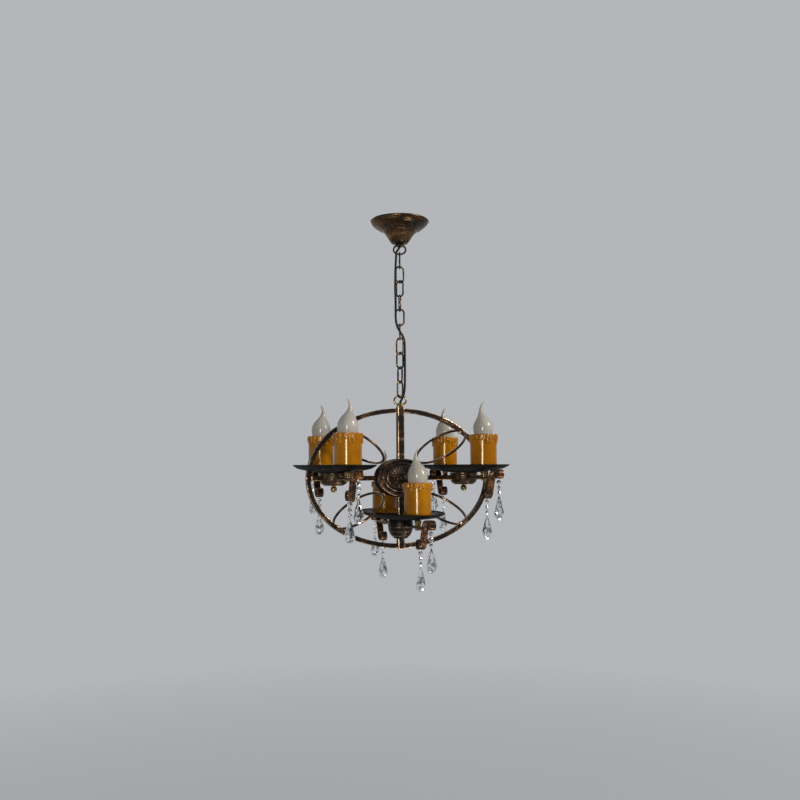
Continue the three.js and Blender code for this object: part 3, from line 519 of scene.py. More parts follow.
BLACK_BRONZE = (0.018, 0.012, 0.008)
bronze = bronze_look("antique_bronze", BLACK_BRONZE, (0.2, 0.09, 0.035), (0.6, 0.4, 0.2), 0.62)
bronze_ring = bronze_look("antique_bronze_ring", BLACK_BRONZE, (0.26, 0.14, 0.07), (0.85, 0.64, 0.4), 0.63,
                          edge_share=0.36)
bronze_chain = bronze_look("antique_bronze_link", (0.02, 0.014, 0.01), (0.24, 0.15, 0.08),
                           (0.62, 0.48, 0.3), 0.68, gloss=0.24, edge_share=0.16)
bronze_hoop = bronze_look("antique_bronze_hoop", (0.04, 0.024, 0.014), (0.3, 0.16, 0.075),
                          (0.8, 0.58, 0.34), 0.58, gloss=0.24, edge_share=0.14)
bronze_scroll = bronze_look("antique_bronze_scroll", (0.02, 0.011, 0.007), (0.24, 0.095, 0.034),
                            (0.5, 0.27, 0.11), 0.615, edge_share=0.2, spread=0.12, patch=26)
bronze_hub = bronze_look("antique_bronze_hub", (0.012, 0.009, 0.007), (0.2, 0.11, 0.055),
                         (0.62, 0.43, 0.26), 0.65, edge_share=0.17, spread=0.12, patch=22)
bronze_cup = bronze_look("antique_bronze_cup", (0.035, 0.023, 0.013), (0.12, 0.075, 0.038),
                         (0.5, 0.36, 0.2), 0.6, edge_share=0.12, gloss=0.24, spread=0.12, patch=26)
# On the canopy the worn copper patches, stretched into streaks round it, are wear and also a painted copper
# sheen.
bronze_canopy = bronze_look("antique_bronze_canopy", (0.012, 0.008, 0.005), (0.15, 0.078, 0.03),
                            (0.6, 0.38, 0.16), 0.58, edge_share=0.1, gloss=0.24, spread=0.15, patch=22,
                            stretch=(1, 1, 2.4))
brass = brass_look("aged_brass", (0.5, 0.35, 0.15), (0.08, 0.055, 0.026))
dark_brass = brass_look("dark_brass", (0.5, 0.34, 0.14), (0.03, 0.021, 0.012))
black_tray = black_tray_look()
wax = wax_look()
frosted = frosted_look()
crystal = crystal_look()
zinc = steel_look("zinc_steel", (0.4, 0.41, 0.42), (0.62, 0.62, 0.6), 0.28)
cap_metal = steel_look("bulb_cap_metal", (0.5, 0.47, 0.4), (0.7, 0.66, 0.56), 0.2)
pin_wire = steel_look("pin_wire", (0.55, 0.53, 0.5), (0.75, 0.73, 0.7), 0.2)
cable_black = grained_look("cable_sheath", (420, 4, 0.6), (420, 4, 0.6),
                           [(0.3, (0.008, 0.008, 0.009)), (0.8, (0.022, 0.021, 0.02))],
                           [(0.3, 0.38), (0.8, 0.55)], (0.12, 0.0003), Specular_IOR_Level=0.15)
porcelain = grained_look("holder_body", (60, 4, 0.55), (600, 3, 0.5),
                         [(0.3, (0.5, 0.47, 0.4)), (0.7, (0.66, 0.63, 0.56))],
                         [(0.3, 0.4), (0.8, 0.55)], (0.1, 0.0002))


# Canopy and its fixing


def canopy():
    outer = [(53.6, -0.4), (54.5, -1.4), (54.2, -3.4), (51.6, -7.4), (46.6, -12.2), (40, -16.6),
             (33.6, -19.4), (31.2, -20.2), (29.6, -21.6), (26.8, -25.6), (22.3, -32), (18.6, -38),
             (16.6, -40.8), (14.4, -43), (12, -43.9), (5.3, -CANOPY_DEPTH)]
    inner = [(5.3, -42.8), (11.6, -42.7), (15.4, -39.8), (17.4, -37), (21.1, -31), (25.6, -24.6),
             (28.6, -20.4), (32, -18.6), (39, -15.4), (45.2, -11.2), (50.2, -6.8), (52.4, -3), (52.4, -0.6)]
    shell = lathe(rounded(outer, 1.2) + inner, 96, closed=True)
    piece("canopy_shell", shell, bronze_canopy, "root", "antique_bronze", "canopy")
    fold = bead_ring(radius=30.6, height=-20.6, half_width=0.9, half_height=0.7, segments=96)
    piece("canopy_fold_bead", fold, bronze_canopy, "root", "antique_bronze")


def hexagon_nut(low, high, radius, bore):
    """Nut on a washer, with a short sleeve in its bore."""
    outer = prism(6, radius, low, high, bevel=0.6)
    washer_radius, sink, lift, sleeve = radius * 0.82, 0.02, 0.3, 0.5
    washer = lathe([(bore, low - sink), (washer_radius, low - sink), (washer_radius, low + lift),
                    (bore, high + lift), (bore - sleeve, high + lift), (bore - sleeve, low)], 36, closed=True)
    return merge(outer, washer)


def thread(radius, depth, pitch, low, high, bore):
    """Closed profile of a threaded tube."""
    outer = []
    z = low
    while z < high - TINY:
        outer += [(radius - depth, z), (radius, z + pitch / 2)]
        z += pitch
    outer.append((radius - depth, high))
    return outer + [(bore, high), (bore, low)]


def ceiling_fixing():
    tube = lathe(thread(radius=5, depth=0.45, pitch=1.2, low=-47.2, high=-8.6, bore=3.3), 32, closed=True)
    piece("threaded_tube", tube, zinc, "root", "zinc_steel", "canopy_nipple")
    nut = hexagon_nut(low=-42.4, high=-39.1, radius=9.5, bore=5)
    piece("fixing_nut", nut, zinc, "root", "zinc_steel", "nipple_nut")
    strap = frame["nodes"]["mounting_strap"].data
    strap.materials.clear()
    strap.materials.append(zinc)


def hanging_loop(loop):
    """Wire loop face on to the front, with its arms welded into a turned collar."""
    low, high = loop["collar"]
    radius, bore = loop["radius"], loop["bore"]
    across, down = Vector((loop["half_width"], 0, 0)), Vector((0, 0, -loop["up"] * LOOP_HALF_HEIGHT))
    places = ellipse_places(Vector((0, 0, loop["centre"])), across, down, 48, -LOOP_ARM_ANGLE,
                            180 + LOOP_ARM_ANGLE)
    arms = flat_sweep(places, circle_section(LOOP_WIRE / 2, 14), Vector((0, 1, 0)), False)
    chamfer, waist = 1.1, 0.5
    profile = [(bore, low), (radius - chamfer, low), (radius, low + chamfer),
               (radius - waist, (low + high) / 2), (radius, high - chamfer), (radius - chamfer, high),
               (bore, high)]
    collar = lathe(rounded(profile, 0.5, 2), 48, closed=True)
    return moved(merge(arms, collar), at(turn=HANGER_TWIST))


canopy()
ceiling_fixing()
piece("canopy_hook_loop", hanging_loop(CANOPY_LOOP), bronze_canopy, "root", "antique_bronze", "canopy_loop")
piece("stem_hook_loop", hanging_loop(STEM_LOOP), brass, "frame", "rubbed_brass", "stem_loop")


# Chain and cable


def link_centre(number):
    return FIRST_LINK_TOP - LINK_HALF - (number - 1) * LINK_PITCH


def chain_link_shape(rng):
    """Open link of round wire with a slightly swollen weld on one long side."""
    end_radius = (LINK_WIDTH - LINK_WIRE) / 2
    straight = LINK_HALF - end_radius
    weld_swell = {3: 0.06, 4: 0.12, 5: 0.06}
    places, sizes = [], []
    for side in (1, -1):
        for i in range(17):
            angle = (0 if side > 0 else math.pi) + math.pi * i / 16
            outward = Vector((math.cos(angle), 0, math.sin(angle)))
            places.append((Vector((0, 0, side * straight)) + outward * end_radius, outward))
            sizes.append(1.0)
        for i in range(1, 8):
            z = side * straight * (1 - 2 * i / 8)
            places.append((Vector((-side * end_radius, 0, z)), Vector((-side, 0, 0))))
            welded = side > 0 and i in weld_swell
            sizes.append(1.0 + (weld_swell[i] if welded else rng.uniform(-0.015, 0.015)))
    section = circle_section(LINK_WIRE / 2, 12)
    rings = [[point + outward * (u * size) + Vector((0, v * size, 0)) for u, v in section]
             for (point, outward), size in zip(places, sizes)]
    return loft(rings, closed_along=True)


def chain():
    rng = random.Random(4)
    for number, twist in enumerate(LINK_TWISTS, 1):
        other_way_up = 180 if number % 2 == 0 else 0
        turn = HANGER_TWIST + twist + other_way_up
        link = moved(chain_link_shape(rng), at(z=link_centre(number), turn=turn))
        piece(f"link_{number}", link, bronze_chain, f"chain_link_{number}", "antique_bronze",
              f"chain_link_{number}", sharp=None)


def between(p, q, start, end, t):
    return p * ((end - t) / (end - start)) + q * ((t - start) / (end - start))


def centripetal(points, per_span):
    """Centripetal Catmull-Rom curve through the points, as the CAD model uses."""
    first = points[0] * 2 - points[1]
    last = points[-1] * 2 - points[-2]
    padded = [first] + points + [last]
    out = []
    for i in range(1, len(padded) - 2):
        p0, p1, p2, p3 = padded[i - 1:i + 3]
        t0 = 0.0
        t1 = t0 + math.sqrt((p1 - p0).length)
        t2 = t1 + math.sqrt((p2 - p1).length)
        t3 = t2 + math.sqrt((p3 - p2).length)
        for k in range(per_span):
            t = t1 + (t2 - t1) * k / per_span
            a1, a2, a3 = between(p0, p1, t0, t1, t), between(p1, p2, t1, t2, t), between(p2, p3, t2, t3, t)
            b1, b2 = between(a1, a2, t0, t2, t), between(a2, a3, t1, t3, t)
            out.append(between(b1, b2, t1, t2, t))
    out.append(points[-1])
    return out


def cable_route():
    """The cable's way past the links, as in the CAD source."""
    loop_centre, stem_centre = CANOPY_LOOP_CENTRE, STEM_LOOP_CENTRE
    loop_bottom, stem_top = loop_centre - LOOP_HALF_HEIGHT, stem_centre + LOOP_HALF_HEIGHT
    route = [
        (0, 0, -5.5), (0, 0, -26), (0, 0, CANOPY_COLLAR_FOOT + 1.5), (-0.9, -0.6, CANOPY_COLLAR_FOOT - 2.5),
        (-4.6, -4.6, loop_centre - 3.5), (-6.2, -6.2, loop_bottom - 1), (-6.8, -6, link_centre(1)),
        (-7.8, -7, link_centre(2) + 6), (-8, -6.9, link_centre(2) - 6), (-8.2, -4.6, link_centre(3)),
        (-7.6, -4.4, link_centre(4)), (-7.6, -5.2, link_centre(5) + 8), (-7.2, -5.2, link_centre(5) - 6),
        (-4.4, -3.2, link_centre(6) + 8.5), (0, -0.6, link_centre(6) + 0.5), (4.8, 1, link_centre(6) - 7),
        (8, 3, link_centre(7) + 10), (8.8, 2.6, link_centre(7) - 4), (9, 0.8, link_centre(8)),
        (9, 0, link_centre(9)), (8.6, -2.6, link_centre(10) + 4), (7.4, -5.6, stem_top + 5),
        (5.4, -5.8, stem_top - 1.5), (1.6, -2, stem_centre - 1), (0, 0, STEM_COLLAR_TOP + 1.5),
        (0, 0, STEM_COLLAR_TOP - 4), (0, 0, RING_CENTRE + RING_HALF_HEIGHT),
        (0, 0, RING_CENTRE + CROSS_WIDTH / 2 + CABLE_ABOVE_CROSS_TUBE),
    ]
    turn = Matrix.Rotation(math.radians(HANGER_TWIST), 3, "Z")
    return [turn @ Vector(point) for point in route]


def cable():
    """One cable, cut where a link's middle is, so that each stretch spans one joint of the chain."""
    path = centripetal(cable_route(), 14)
    rings = tube_rings(path, CABLE_DIAMETER / 2, 14)
    numbers = range(1, len(LINK_TWISTS) + 1)
    bodies = ["root"] + [f"chain_link_{number}" for number in numbers] + ["frame"]
    cuts = [math.inf] + [link_centre(number) for number in numbers] + [-math.inf]
    for k in range(len(bodies) - 1):
        inside = [i for i, point in enumerate(path) if cuts[k] >= point.z >= cuts[k + 1]]
        low, high = max(min(inside) - 1, 0), min(max(inside) + 1, len(path) - 1)
        stretch = mesh_object(f"lamp_cable_{k + 1}", *loft(rings[low:high + 1]), cable_black, sharp=60)
        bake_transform(stretch)
        if k == 0:
            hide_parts("lamp_cable")


chain()
cable()


# Ring, hoops, post and hub


def weld_bead(centre, radius, rng):
    """Small uneven blob of weld metal."""
    rows, sides = 7, 12
    rings = []
    for i in range(rows + 1):
        latitude = math.pi * (i / rows - 0.5)
        ring = []
        for x, y in circle_section(math.cos(latitude), sides):
            wobble = 1 + rng.uniform(-0.08, 0.08) if 0 < i < rows else 1
            ring.append(centre + Vector((x, y, math.sin(latitude))) * radius * wobble)
        rings.append(ring)
    return loft(rings, caps=False)


def ring_frame():
    rng = random.Random(11)
    centre = Vector((0, 0, RING_CENTRE))
    places = ellipse_places(centre, Vector((RING_HALF_WIDTH, 0, 0)), Vector((0, 0, RING_HALF_HEIGHT)), 180)
    bar = flat_sweep(places, bar_section(RING_BAR, RING_BAR, 1.1), Vector((0, 1, 0)), True)
    piece("ring_bar", bar, bronze_ring, "frame", "antique_bronze", "outer_ring", sharp=60)
    share = math.sqrt(0.5)
    inner_x = HUB_WIDTH * share + HOOP_STANDOFF
    inner_z = HUB_HEIGHT * share + HOOP_STANDOFF * HUB_HEIGHT / HUB_WIDTH
    weld_inset, weld_offset, weld_radius = 3.4, 2.6, 2.9
    for name, sx, sz in (("ur", 1, 1), ("ul", -1, 1), ("ll", -1, -1), ("lr", 1, -1)):
        outer = Vector((sx * RING_HALF_WIDTH * share, 0, RING_CENTRE + sz * RING_HALF_HEIGHT * share))
        inner = Vector((sx * inner_x, 0, RING_CENTRE + sz * inner_z))
        middle = (outer + inner) / 2
        along = outer - middle
        across = Vector((along.z, 0, -along.x)).normalized()
        if across.x < 0:
            across.negate()
        depth = Vector((0, -HOOP_DEPTH, 0)) + across * HOOP_TILT
        places = ellipse_places(middle, along, depth, 120)
        hoop = flat_sweep(places, circle_section(HOOP_WIRE / 2, 14), along.cross(depth).normalized(), True)
        joint = outer - along.normalized() * weld_inset
        welds = [weld_bead(joint + Vector((0, side * weld_offset, 0)), weld_radius, rng) for side in (-1, 1)]
        piece(f"hoop_{name}", hoop, bronze_hoop, "frame", "antique_bronze", sharp=None)
        piece(f"hoop_weld_{name}", merge(*welds), bronze_ring, "frame", "antique_bronze")


def straight_bar(width, start, end, corner):
    """Square bar with rounded edges from start to end."""
    chamfer = 0.8
    direction = (end - start).normalized()
    side = Vector((0, 1, 0))
    other = direction.cross(side)
    rings = []
    for distance, shrink in bar_stops((end - start).length, chamfer, chamfer, 2 * chamfer, 13):
        point = start + direction * distance
        narrowed = width - 2 * shrink
        rings.append([point + side * u + other * v for u, v in bar_section(narrowed, narrowed, corner)])
    return loft(rings)


def post_and_tube():
    post = straight_bar(POST_WIDTH, Vector((0, 0, POST_BOTTOM)), Vector((0, 0, POST_TOP)), 1.5)
    piece("upright_post", post, bronze_ring, "frame", "antique_bronze", "post", sharp=50)
    tube_end = Vector((CROSS_HALF, 0, RING_CENTRE))
    tube = straight_bar(CROSS_WIDTH, Vector((-CROSS_HALF, 0, RING_CENTRE)), tube_end, 1.1)
    piece("cross_bar", tube, bronze, "frame", "antique_bronze", "cross_tube", sharp=50)


def oval_disc(profile, segments, rays=0):
    """Disc about Z, pressed to the hub's oval, with rays between its inner bead and its boss."""
    start, end, depth = 11.8, 27.2, 0.8
    verts, faces = lathe(profile, segments)
    shaped = []
    for x, y, z in verts:
        radius = math.hypot(x, y)
        if rays and start < radius < end and z > 0.5:
            fade = math.sin(math.pi * (radius - start) / (end - start)) ** 0.6
            z += depth * fade * math.cos(rays * math.atan2(y, x))
        shaped.append((x, y * HUB_HEIGHT / HUB_WIDTH, z))
    return shaped, faces


def hub():
    angles = [math.pi * i / 10 for i in range(11)]
    rim = [(HUB_WIDTH - HUB_RIM + HUB_RIM * math.sin(a), HUB_RIM - HUB_RIM * math.cos(a)) for a in angles]
    shared = [(0, 0)] + rim + [(43.0, 5.2), (41.6, 3.4), (40.6, 2.6), (39, 2.5)]
    cone = [(radius, 3.4 + 1.2 * math.sin((26 - radius) / 15 * math.pi / 2))
            for radius in (26, 24, 22, 20, 18, 16, 14, 12.5)]
    bead = [(35.5, 2.7), (34.6, 3.6), (33.6, 2.9), (30.6, 3.0), (29.4, 4.6), (28, 5), (27, 4.3)]
    boss = [(11.6, 5.0), (11, 6.6), (9.6, 7.4), (8.6, 6.8), (8.2, 6.4), (7.6, 8.6), (6, 10), (3.2, 10.4),
            (2.4, 10.4), (0, 10.4)]
    front = oval_disc(shared + bead + cone + boss, 192, rays=24)
    plain = [(34, 2.5), (33, 3.3), (32, 2.5), (14, 2.5), (9.5, 3.2), (8, 4.4), (6.5, 5.4), (3, 5.9), (0, 6)]
    rear = oval_disc(rounded(shared + plain, 0.6, 2), 96)
    discs = (("hub_rosette", "hub_front", front, 1), ("hub_back_disc", "hub_rear", rear, -1))
    for name, node, disc, way in discs:
        turn = Matrix.Rotation(way * math.pi / 2, 4, "X")
        place = Matrix.Translation((0, -way * HUB_OFFSET, RING_CENTRE)) @ turn
        piece(name, moved(disc, place), bronze_hub, "frame", "antique_bronze", node, sharp=50)


ring_frame()
post_and_tube()
hub()


# Trays


def tray_rise(share):
    """Rise at a share of the way out to the rim, by the CAD model's stops."""
    for (x0, y0), (x1, y1) in zip(TRAY_CURVE, TRAY_CURVE[1:]):
        if share <= x1:
            return y0 + (y1 - y0) * (share - x0) / (x1 - x0)
    return 1.0


def smooth_rise(share):
    steps = (-0.03, -0.015, 0, 0.015, 0.03)
    return sum(tray_rise(min(max(share + step, 0), 1)) for step in steps) / len(steps)


def tray_oval(share, height):
    width, length = share * TRAY_WIDTH, share * (TRAY_LENGTH - 1)
    return [Vector((width * x, length * y, height)) for x, y in circle_section(1, 120)]


def tray_shape():
    """Thin oval bowl with a rolled rim."""
    shares = [0.02, 0.12, 0.22, 0.3, 0.36, 0.42, 0.48, 0.54, 0.6, 0.66, 0.72, 0.78, 0.83, 0.88, 0.92,
              0.95, 0.98]
    under_depth, upper_depth = TRAY_DEPTH - 2.2 * TRAY_WALL, TRAY_DEPTH - 2 * TRAY_WALL
    under = [tray_oval(share, TRAY_FLOOR + smooth_rise(share) * under_depth) for share in shares]
    upper = [tray_oval(share, TRAY_FLOOR + TRAY_WALL + smooth_rise(share) * upper_depth) for share in shares]
    rim_share, rim_swell, rim_drop = 0.985, 0.014, 2.1
    rim = []
    for i in range(9):
        angle = -math.pi / 2 + math.pi * i / 8
        height = TRAY_FLOOR + TRAY_DEPTH - rim_drop + math.sin(angle)
        rim.append(tray_oval(rim_share + rim_swell * math.cos(angle), height))
    return loft(under + rim + upper[::-1])


def trays():
    washer = lathe([(4.3, 13.9), (8.6, 14.4), (8.6, 15.6), (4.3, 15.6)], 32, closed=True)
    for name, x, level in TRAYS:
        tray = moved(tray_shape(), at(x, 0, level))
        piece(f"oval_tray_{name}", tray, black_tray, "frame", "black_tray", f"tray_{name}", sharp=60)
        washers = [moved(washer, at(x, side * CANDLE_REACH, level)) for _, side in ENDS]
        piece(f"tray_washers_{name}", merge(*washers), dark_brass, "frame", "rubbed_brass")


trays()


# Carriers: cup, arms, scrolls, finials


def trace(start, heading, steps):
    """Points and headings of a path of straight runs and arcs: (run, radius, turn, pieces) each."""
    y, z = start
    angle = math.radians(heading)
    trail = [(y, z, angle)]
    for run, radius, turn, pieces in steps:
        for _ in range(pieces):
            bend = math.radians(turn) / pieces
            length = 2 * radius * math.sin(abs(bend) / 2) if turn else run / pieces
            angle += bend / 2
            y += length * math.cos(angle)
            z += length * math.sin(angle)
            angle += bend / 2
            trail.append((y, z, angle))
    return trail


def scroll_shape(side):
    """Rolled strip with softened edges that tapers towards both ends."""
    head = [(LEG_LENGTH, 0, 0, 6), (0, 14, -70, 14), (12, 0, 0, 2), (0, 6.7, -290, 40)]
    foot = [(0, 12, -70, 12), (0, 7.5, -270, 36)]
    up, down = trace(LEG_START, LEG_ANGLE, head), trace(LEG_START, LEG_ANGLE + 180, foot)
    trail = [(y, z, angle - math.pi) for y, z, angle in down[:0:-1]] + up
    rings = []
    for i, (y, z, angle) in enumerate(trail):
        point = Vector((0, side * y, z))
        outward = Vector((0, -side * math.sin(angle), math.cos(angle)))
        from_end = min(i, len(trail) - 1 - i)
        taper = min(1.0, 0.62 + 0.1 * from_end)
        section = bar_section(STRIP_THICKNESS * taper, STRIP_WIDTH * (0.9 + 0.1 * taper), 0.75 * taper)
        rings.append([point + outward * u + Vector((v, 0, 0)) for u, v in section])
    return loft(rings)


def arm_shape(side, inner):
    """Flat arm from the cup, or from the post, out to the scroll's leg."""
    outer, chamfer, narrowing, margin = 119.6, 0.6, 0.4, 1.4
    rings = []
    for distance, shrink in bar_stops(outer - inner, chamfer, narrowing, margin, 7):
        section = bar_section(ARM_THICKNESS - shrink, STRIP_WIDTH - shrink, 0.8)
        rings.append([Vector((v, side * (inner + distance), u)) for u, v in section])
    return loft(rings)


def side_cup():
    outer = [(3.7, -12.5), (15, -12.5), (20, -11.2), (23, -8.6), (24.6, -4), (25.2, 2), (25.6, 6.2),
             (26.2, 7.4), (26, CUP_RIM)]
    inner = [(24.2, CUP_RIM), (23.7, 3), (22.8, -4), (20.6, -8.4), (14.6, -10.8), (3.7, -10.9)]
    bowl = lathe(rounded(outer, 1.4) + inner, 72, closed=True)
    waist = bead_ring(radius=24.9, height=3.2, half_width=0.9, half_height=0.9)
    step = bead_ring(radius=17.4, height=-12.1, half_width=0.8, half_height=0.6)
    return merge(bowl, waist, step)


def lower_cup():
    outer = [(0, -24), (12.4, -24), (13.4, -22.6), (17.2, -19), (20, -14.6), (21.7, -9.6), (22.8, -3),
             (23, 1.5), (22.3, 5.6), (21.4, 8.2), (20.4, CUP_RIM), (0, CUP_RIM)]
    rib_places = ((22.3, -4), (20.7, -11.6), (16.4, -19.2))
    ribs = [bead_ring(radius, height, 0.8, 0.8) for radius, height in rib_places]
    return merge(lathe(rounded(outer, 1.2), 72), *ribs)


def carriers():
    turned = [(0, 1.5), (5.2, 1.5), (5.8, 3), (4.6, 5.4), (5.8, 8), (5.2, 12.6), (0, 12.6)]
    upper_nut = prism(6, radius=6.6, low=8.2, high=12.2, turn=0.3)
    lower_nut = prism(6, radius=5.6, low=-4.6, high=-1.4, turn=0.1)
    spacer = merge(lathe(rounded(turned, 0.6), 32), upper_nut, lower_nut)
    rivet = lathe([(0, 1.2), (3.1, 1.3), (2.7, 2.4), (1.5, 3), (0, 3.1)], 20)
    rivet_reaches = (104, 70)
    for name, x, level in TRAYS:
        low = name == "lower"
        cup, look, arm_start = (lower_cup(), bronze_hub, 7.5) if low else (side_cup(), bronze_cup, 24)
        piece(f"cup_{name}", moved(cup, at(x, 0, level)), look, "frame", "antique_bronze", f"carrier_{name}")
        for end, side in ENDS:
            strips = moved(merge(scroll_shape(side), arm_shape(side, arm_start)), at(x, 0, level))
            piece(f"scroll_{name}_{end}", strips, bronze_scroll, "frame", "antique_bronze", sharp=50)
            place = at(x, side * CANDLE_REACH, level)
            piece(f"spacer_{name}_{end}", moved(spacer, place), dark_brass, "frame", "rubbed_brass")
            rivets = merge(*[moved(rivet, at(x, side * reach, level)) for reach in rivet_reaches])
            piece(f"rivets_{name}_{end}", rivets, dark_brass, "frame", "rubbed_brass")


def finials():
    radius, centre = 5.8, -19.1
    angles = [math.radians(-90 + 145 * i / 14) for i in range(15)]
    ball = [(radius * math.cos(a), centre + radius * math.sin(a)) for a in angles]
    ball[0] = (0, ball[0][1])
    stem = [(2.9, -14), (3.1, -13.8), (5.6, -13.3), (5.8, -12.9), (3.4, -12.8), (3.4, -9), (0, -9)]
    shape = merge(lathe(ball + stem, 36), prism(6, radius=6.2, low=-10.6, high=-7.2))
    for name, x, level in TRAYS[:2]:
        piece(f"turned_finial_{name}", moved(shape, at(x, 0, level)), dark_brass, "frame", "rubbed_brass",
              f"finial_{name}")


carriers()
finials()


# Candles, lampholders and bulbs


def wax_runs(seed):
    """Narrow runs of wax round the sleeve: angle, half width in radians and length."""
    rng = random.Random(seed)
    runs = []
    angle = rng.uniform(0, 0.25)
    while angle < TAU - 0.15:
        runs.append((angle, rng.uniform(0.058, 0.085), rng.choice([5, 7, 9, 12, 14, 15.5])))
        angle += rng.uniform(0.21, 0.36)
    return runs


def run_height(runs, angle, z):
    """How far the highest run stands out here, from 0 to 1."""
    best = 0.0
    for place, width, length in runs:
        across = abs((angle - place + math.pi) % TAU - math.pi) / width
        if across >= 1.25:
            continue
        centre = CANDLE_TOP - 2.2 - length + width * CANDLE_RADIUS
        below = max(0.0, centre - z) / (width * CANDLE_RADIUS * 1.25)
        swell = 1.0 + 0.25 * math.exp(-((z - centre) / 2.2) ** 2)
        reach = (across / swell) ** 2 + below ** 2
        if reach < 1:
            best = max(best, math.sqrt(1 - reach) * min(1.0, (CANDLE_TOP - z) / 2.5))
    return best


def sleeve_shape(seed):
    """Amber tube with a thick band at the top. Narrow runs go down over the band, each with a rounded end."""
    segments, band_depth, band_blend, run_zone = 288, 9.2, 1.3, 20
    zone_foot = CANDLE_TOP - run_zone
    runs = wax_runs(seed)
    angles = [TAU * i / segments for i in range(segments)]
    band_edges = [CANDLE_TOP - band_depth + 1.1 * math.sin(5 * a + seed) + 0.7 * math.sin(11 * a + 2 * seed)
                  for a in angles]
    heights = [CANDLE_FOOT + (zone_foot - CANDLE_FOOT) * j / 14 for j in range(14)]
    heights += [zone_foot + (run_zone - 0.6) * j / 44 for j in range(45)]

    rings = [[(CANDLE_BORE, CANDLE_FOOT)] * segments, [(CANDLE_RADIUS - 0.4, CANDLE_FOOT)] * segments]
    for z in heights:
        row = []
        for a, band_edge in zip(angles, band_edges):
            run = run_height(runs, a, z) if z > zone_foot else 0.0
            band = max(0.0, min(1.0, (z - band_edge) / band_blend)) ** 0.5
            body = CANDLE_RADIUS - 0.25 + 0.16 * math.sin(3 * a + seed + 0.03 * z)
            row.append((body + 1.25 * max(band, run ** 0.7) + 1.15 * run, z))
        rings.append(row)
    mouth = [(CANDLE_RADIUS + 1.0, 0.2), (CANDLE_RADIUS - 0.2, 0), (CANDLE_BORE + 1.4, 0.5),
             (CANDLE_BORE, 2.5), (CANDLE_BORE, run_zone)]
    rings += [[(radius, CANDLE_TOP - drop)] * segments for radius, drop in mouth]
    loops = [[Vector((r * math.cos(a), r * math.sin(a), z)) for a, (r, z) in zip(angles, row)]
             for row in rings]
    return loft(loops, closed_along=True)


def holder_shapes():
    profile = [(0, 16.3), (9, 16.3), (11, 18), (11, 24), (10.2, 25), (10.2, 27), (11, 28), (11, 50.6),
               (10, 52.3), (7.6, 52.3), (7.6, 28.4), (0, 28.4)]
    body = lathe(rounded(profile, 0.5, 2), 40)
    stem = lathe(thread(radius=4, depth=0.35, pitch=1.1, low=13, high=16.6, bore=1.5), 28, closed=True)
    return body, stem


def bulb_shape():
    """Glass flame: a round body that narrows fast to a thin tip, which leans over and comes back."""
    lean_reach, sides = 3.6, 40
    stops = [(6.7, -23.8, 0), (7.4, -19.8, 0), (10.6, -15.8, 0), (13.6, -11, 0), (15.9, -3, 0), (17.2, 5, 0),
             (17.75, 11, 0), (17.3, 16.5, 0), (15.7, 21, 0.03), (12.9, 26, 0.12), (9.7, 30.6, 0.35),
             (6.9, 34.6, 0.65), (4.9, 38.4, 0.9), (3.5, 42.4, 1.05), (2.6, 46.4, 1.05), (2.0, 50.2, 0.8),
             (1.5, 53.8, 0.4), (1.05, 56.8, -0.1), (0.5, 58.8, -0.5)]
    points = [Vector((radius, CANDLE_TOP + rise, lean)) for radius, rise, lean in stops]
    rings = []
    for radius, height, lean in centripetal(points, 4):
        rings.append([Vector((x + lean * lean_reach, y, height)) for x, y in circle_section(radius, sides)])
    return loft(rings)


def cap_shape():
    """Bulb cap with its contact at the foot and a rolled thread."""
    cap = [(0, 28.8), (2.4, 28.8), (3, 29.6), (4.6, 30.4), (6.0, 31.6)]
    valley, crest, pitch = 6.15, 6.85, 2.6
    z = 31.6
    while z < 49:
        cap += [(valley, z + 0.6), (crest, z + 1.6), (valley, z + pitch)]
        z += pitch
    cap += [(6.3, 50.6), (6.9, 51.2), (6.9, 53.4), (0, 53.4)]
    return lathe(cap, 40)


def candles():
    holder_body, holder_stem = holder_shapes()
    for number, (tag, x, side, level) in enumerate(CANDLES, 1):
        place = at(x, side * CANDLE_REACH, level)
        turned = place @ Matrix.Rotation(math.radians(BULB_TURNS[number - 1]), 4, "Z")
        piece(f"sleeve_{tag}", moved(sleeve_shape(number), place), wax, f"candle_sleeve_{tag}",
              "amber_wax", f"candle_sleeve_{tag}", sharp=70)
        piece(f"holder_{tag}", moved(holder_body, place), porcelain, "frame", "holder", f"lampholder_{tag}")
        piece(f"holder_stem_{tag}", moved(holder_stem, place), zinc, "frame", "zinc_steel")
        piece(f"flame_bulb_{tag}", moved(bulb_shape(), turned), frosted, f"bulb_{tag}", "frosted_glass",
              f"bulb_{tag}", sharp=None)
        piece(f"bulb_cap_{tag}", moved(cap_shape(), turned), cap_metal, f"bulb_{tag}", "zinc_steel")


candles()


# Crystal pendants


def faceted(levels, sides, flat):
    """Skin of triangles between rings turned by half a side, so that every facet is a flat cut."""
    verts, faces = [], []
    for number, (radius, z) in enumerate(levels):
        angles = [TAU * (i + number % 2 / 2) / sides for i in range(sides)]
        verts += [(radius * math.cos(angle), flat * radius * math.sin(angle), z) for angle in angles]
    for r in range(len(levels) - 1):
        low, high = r * sides, (r + 1) * sides
        for i in range(sides):
            k = (i + 1) % sides
            a, b, c, d = low + i, low + k, high + k, high + i
            faces += [(a, b, d), (b, c, d)] if r % 2 == 0 else [(a, c, d), (a, b, c)]
    faces.append(tuple(range(sides))[::-1])
    faces.append(tuple(range(len(verts) - sides, len(verts))))
    return verts, faces


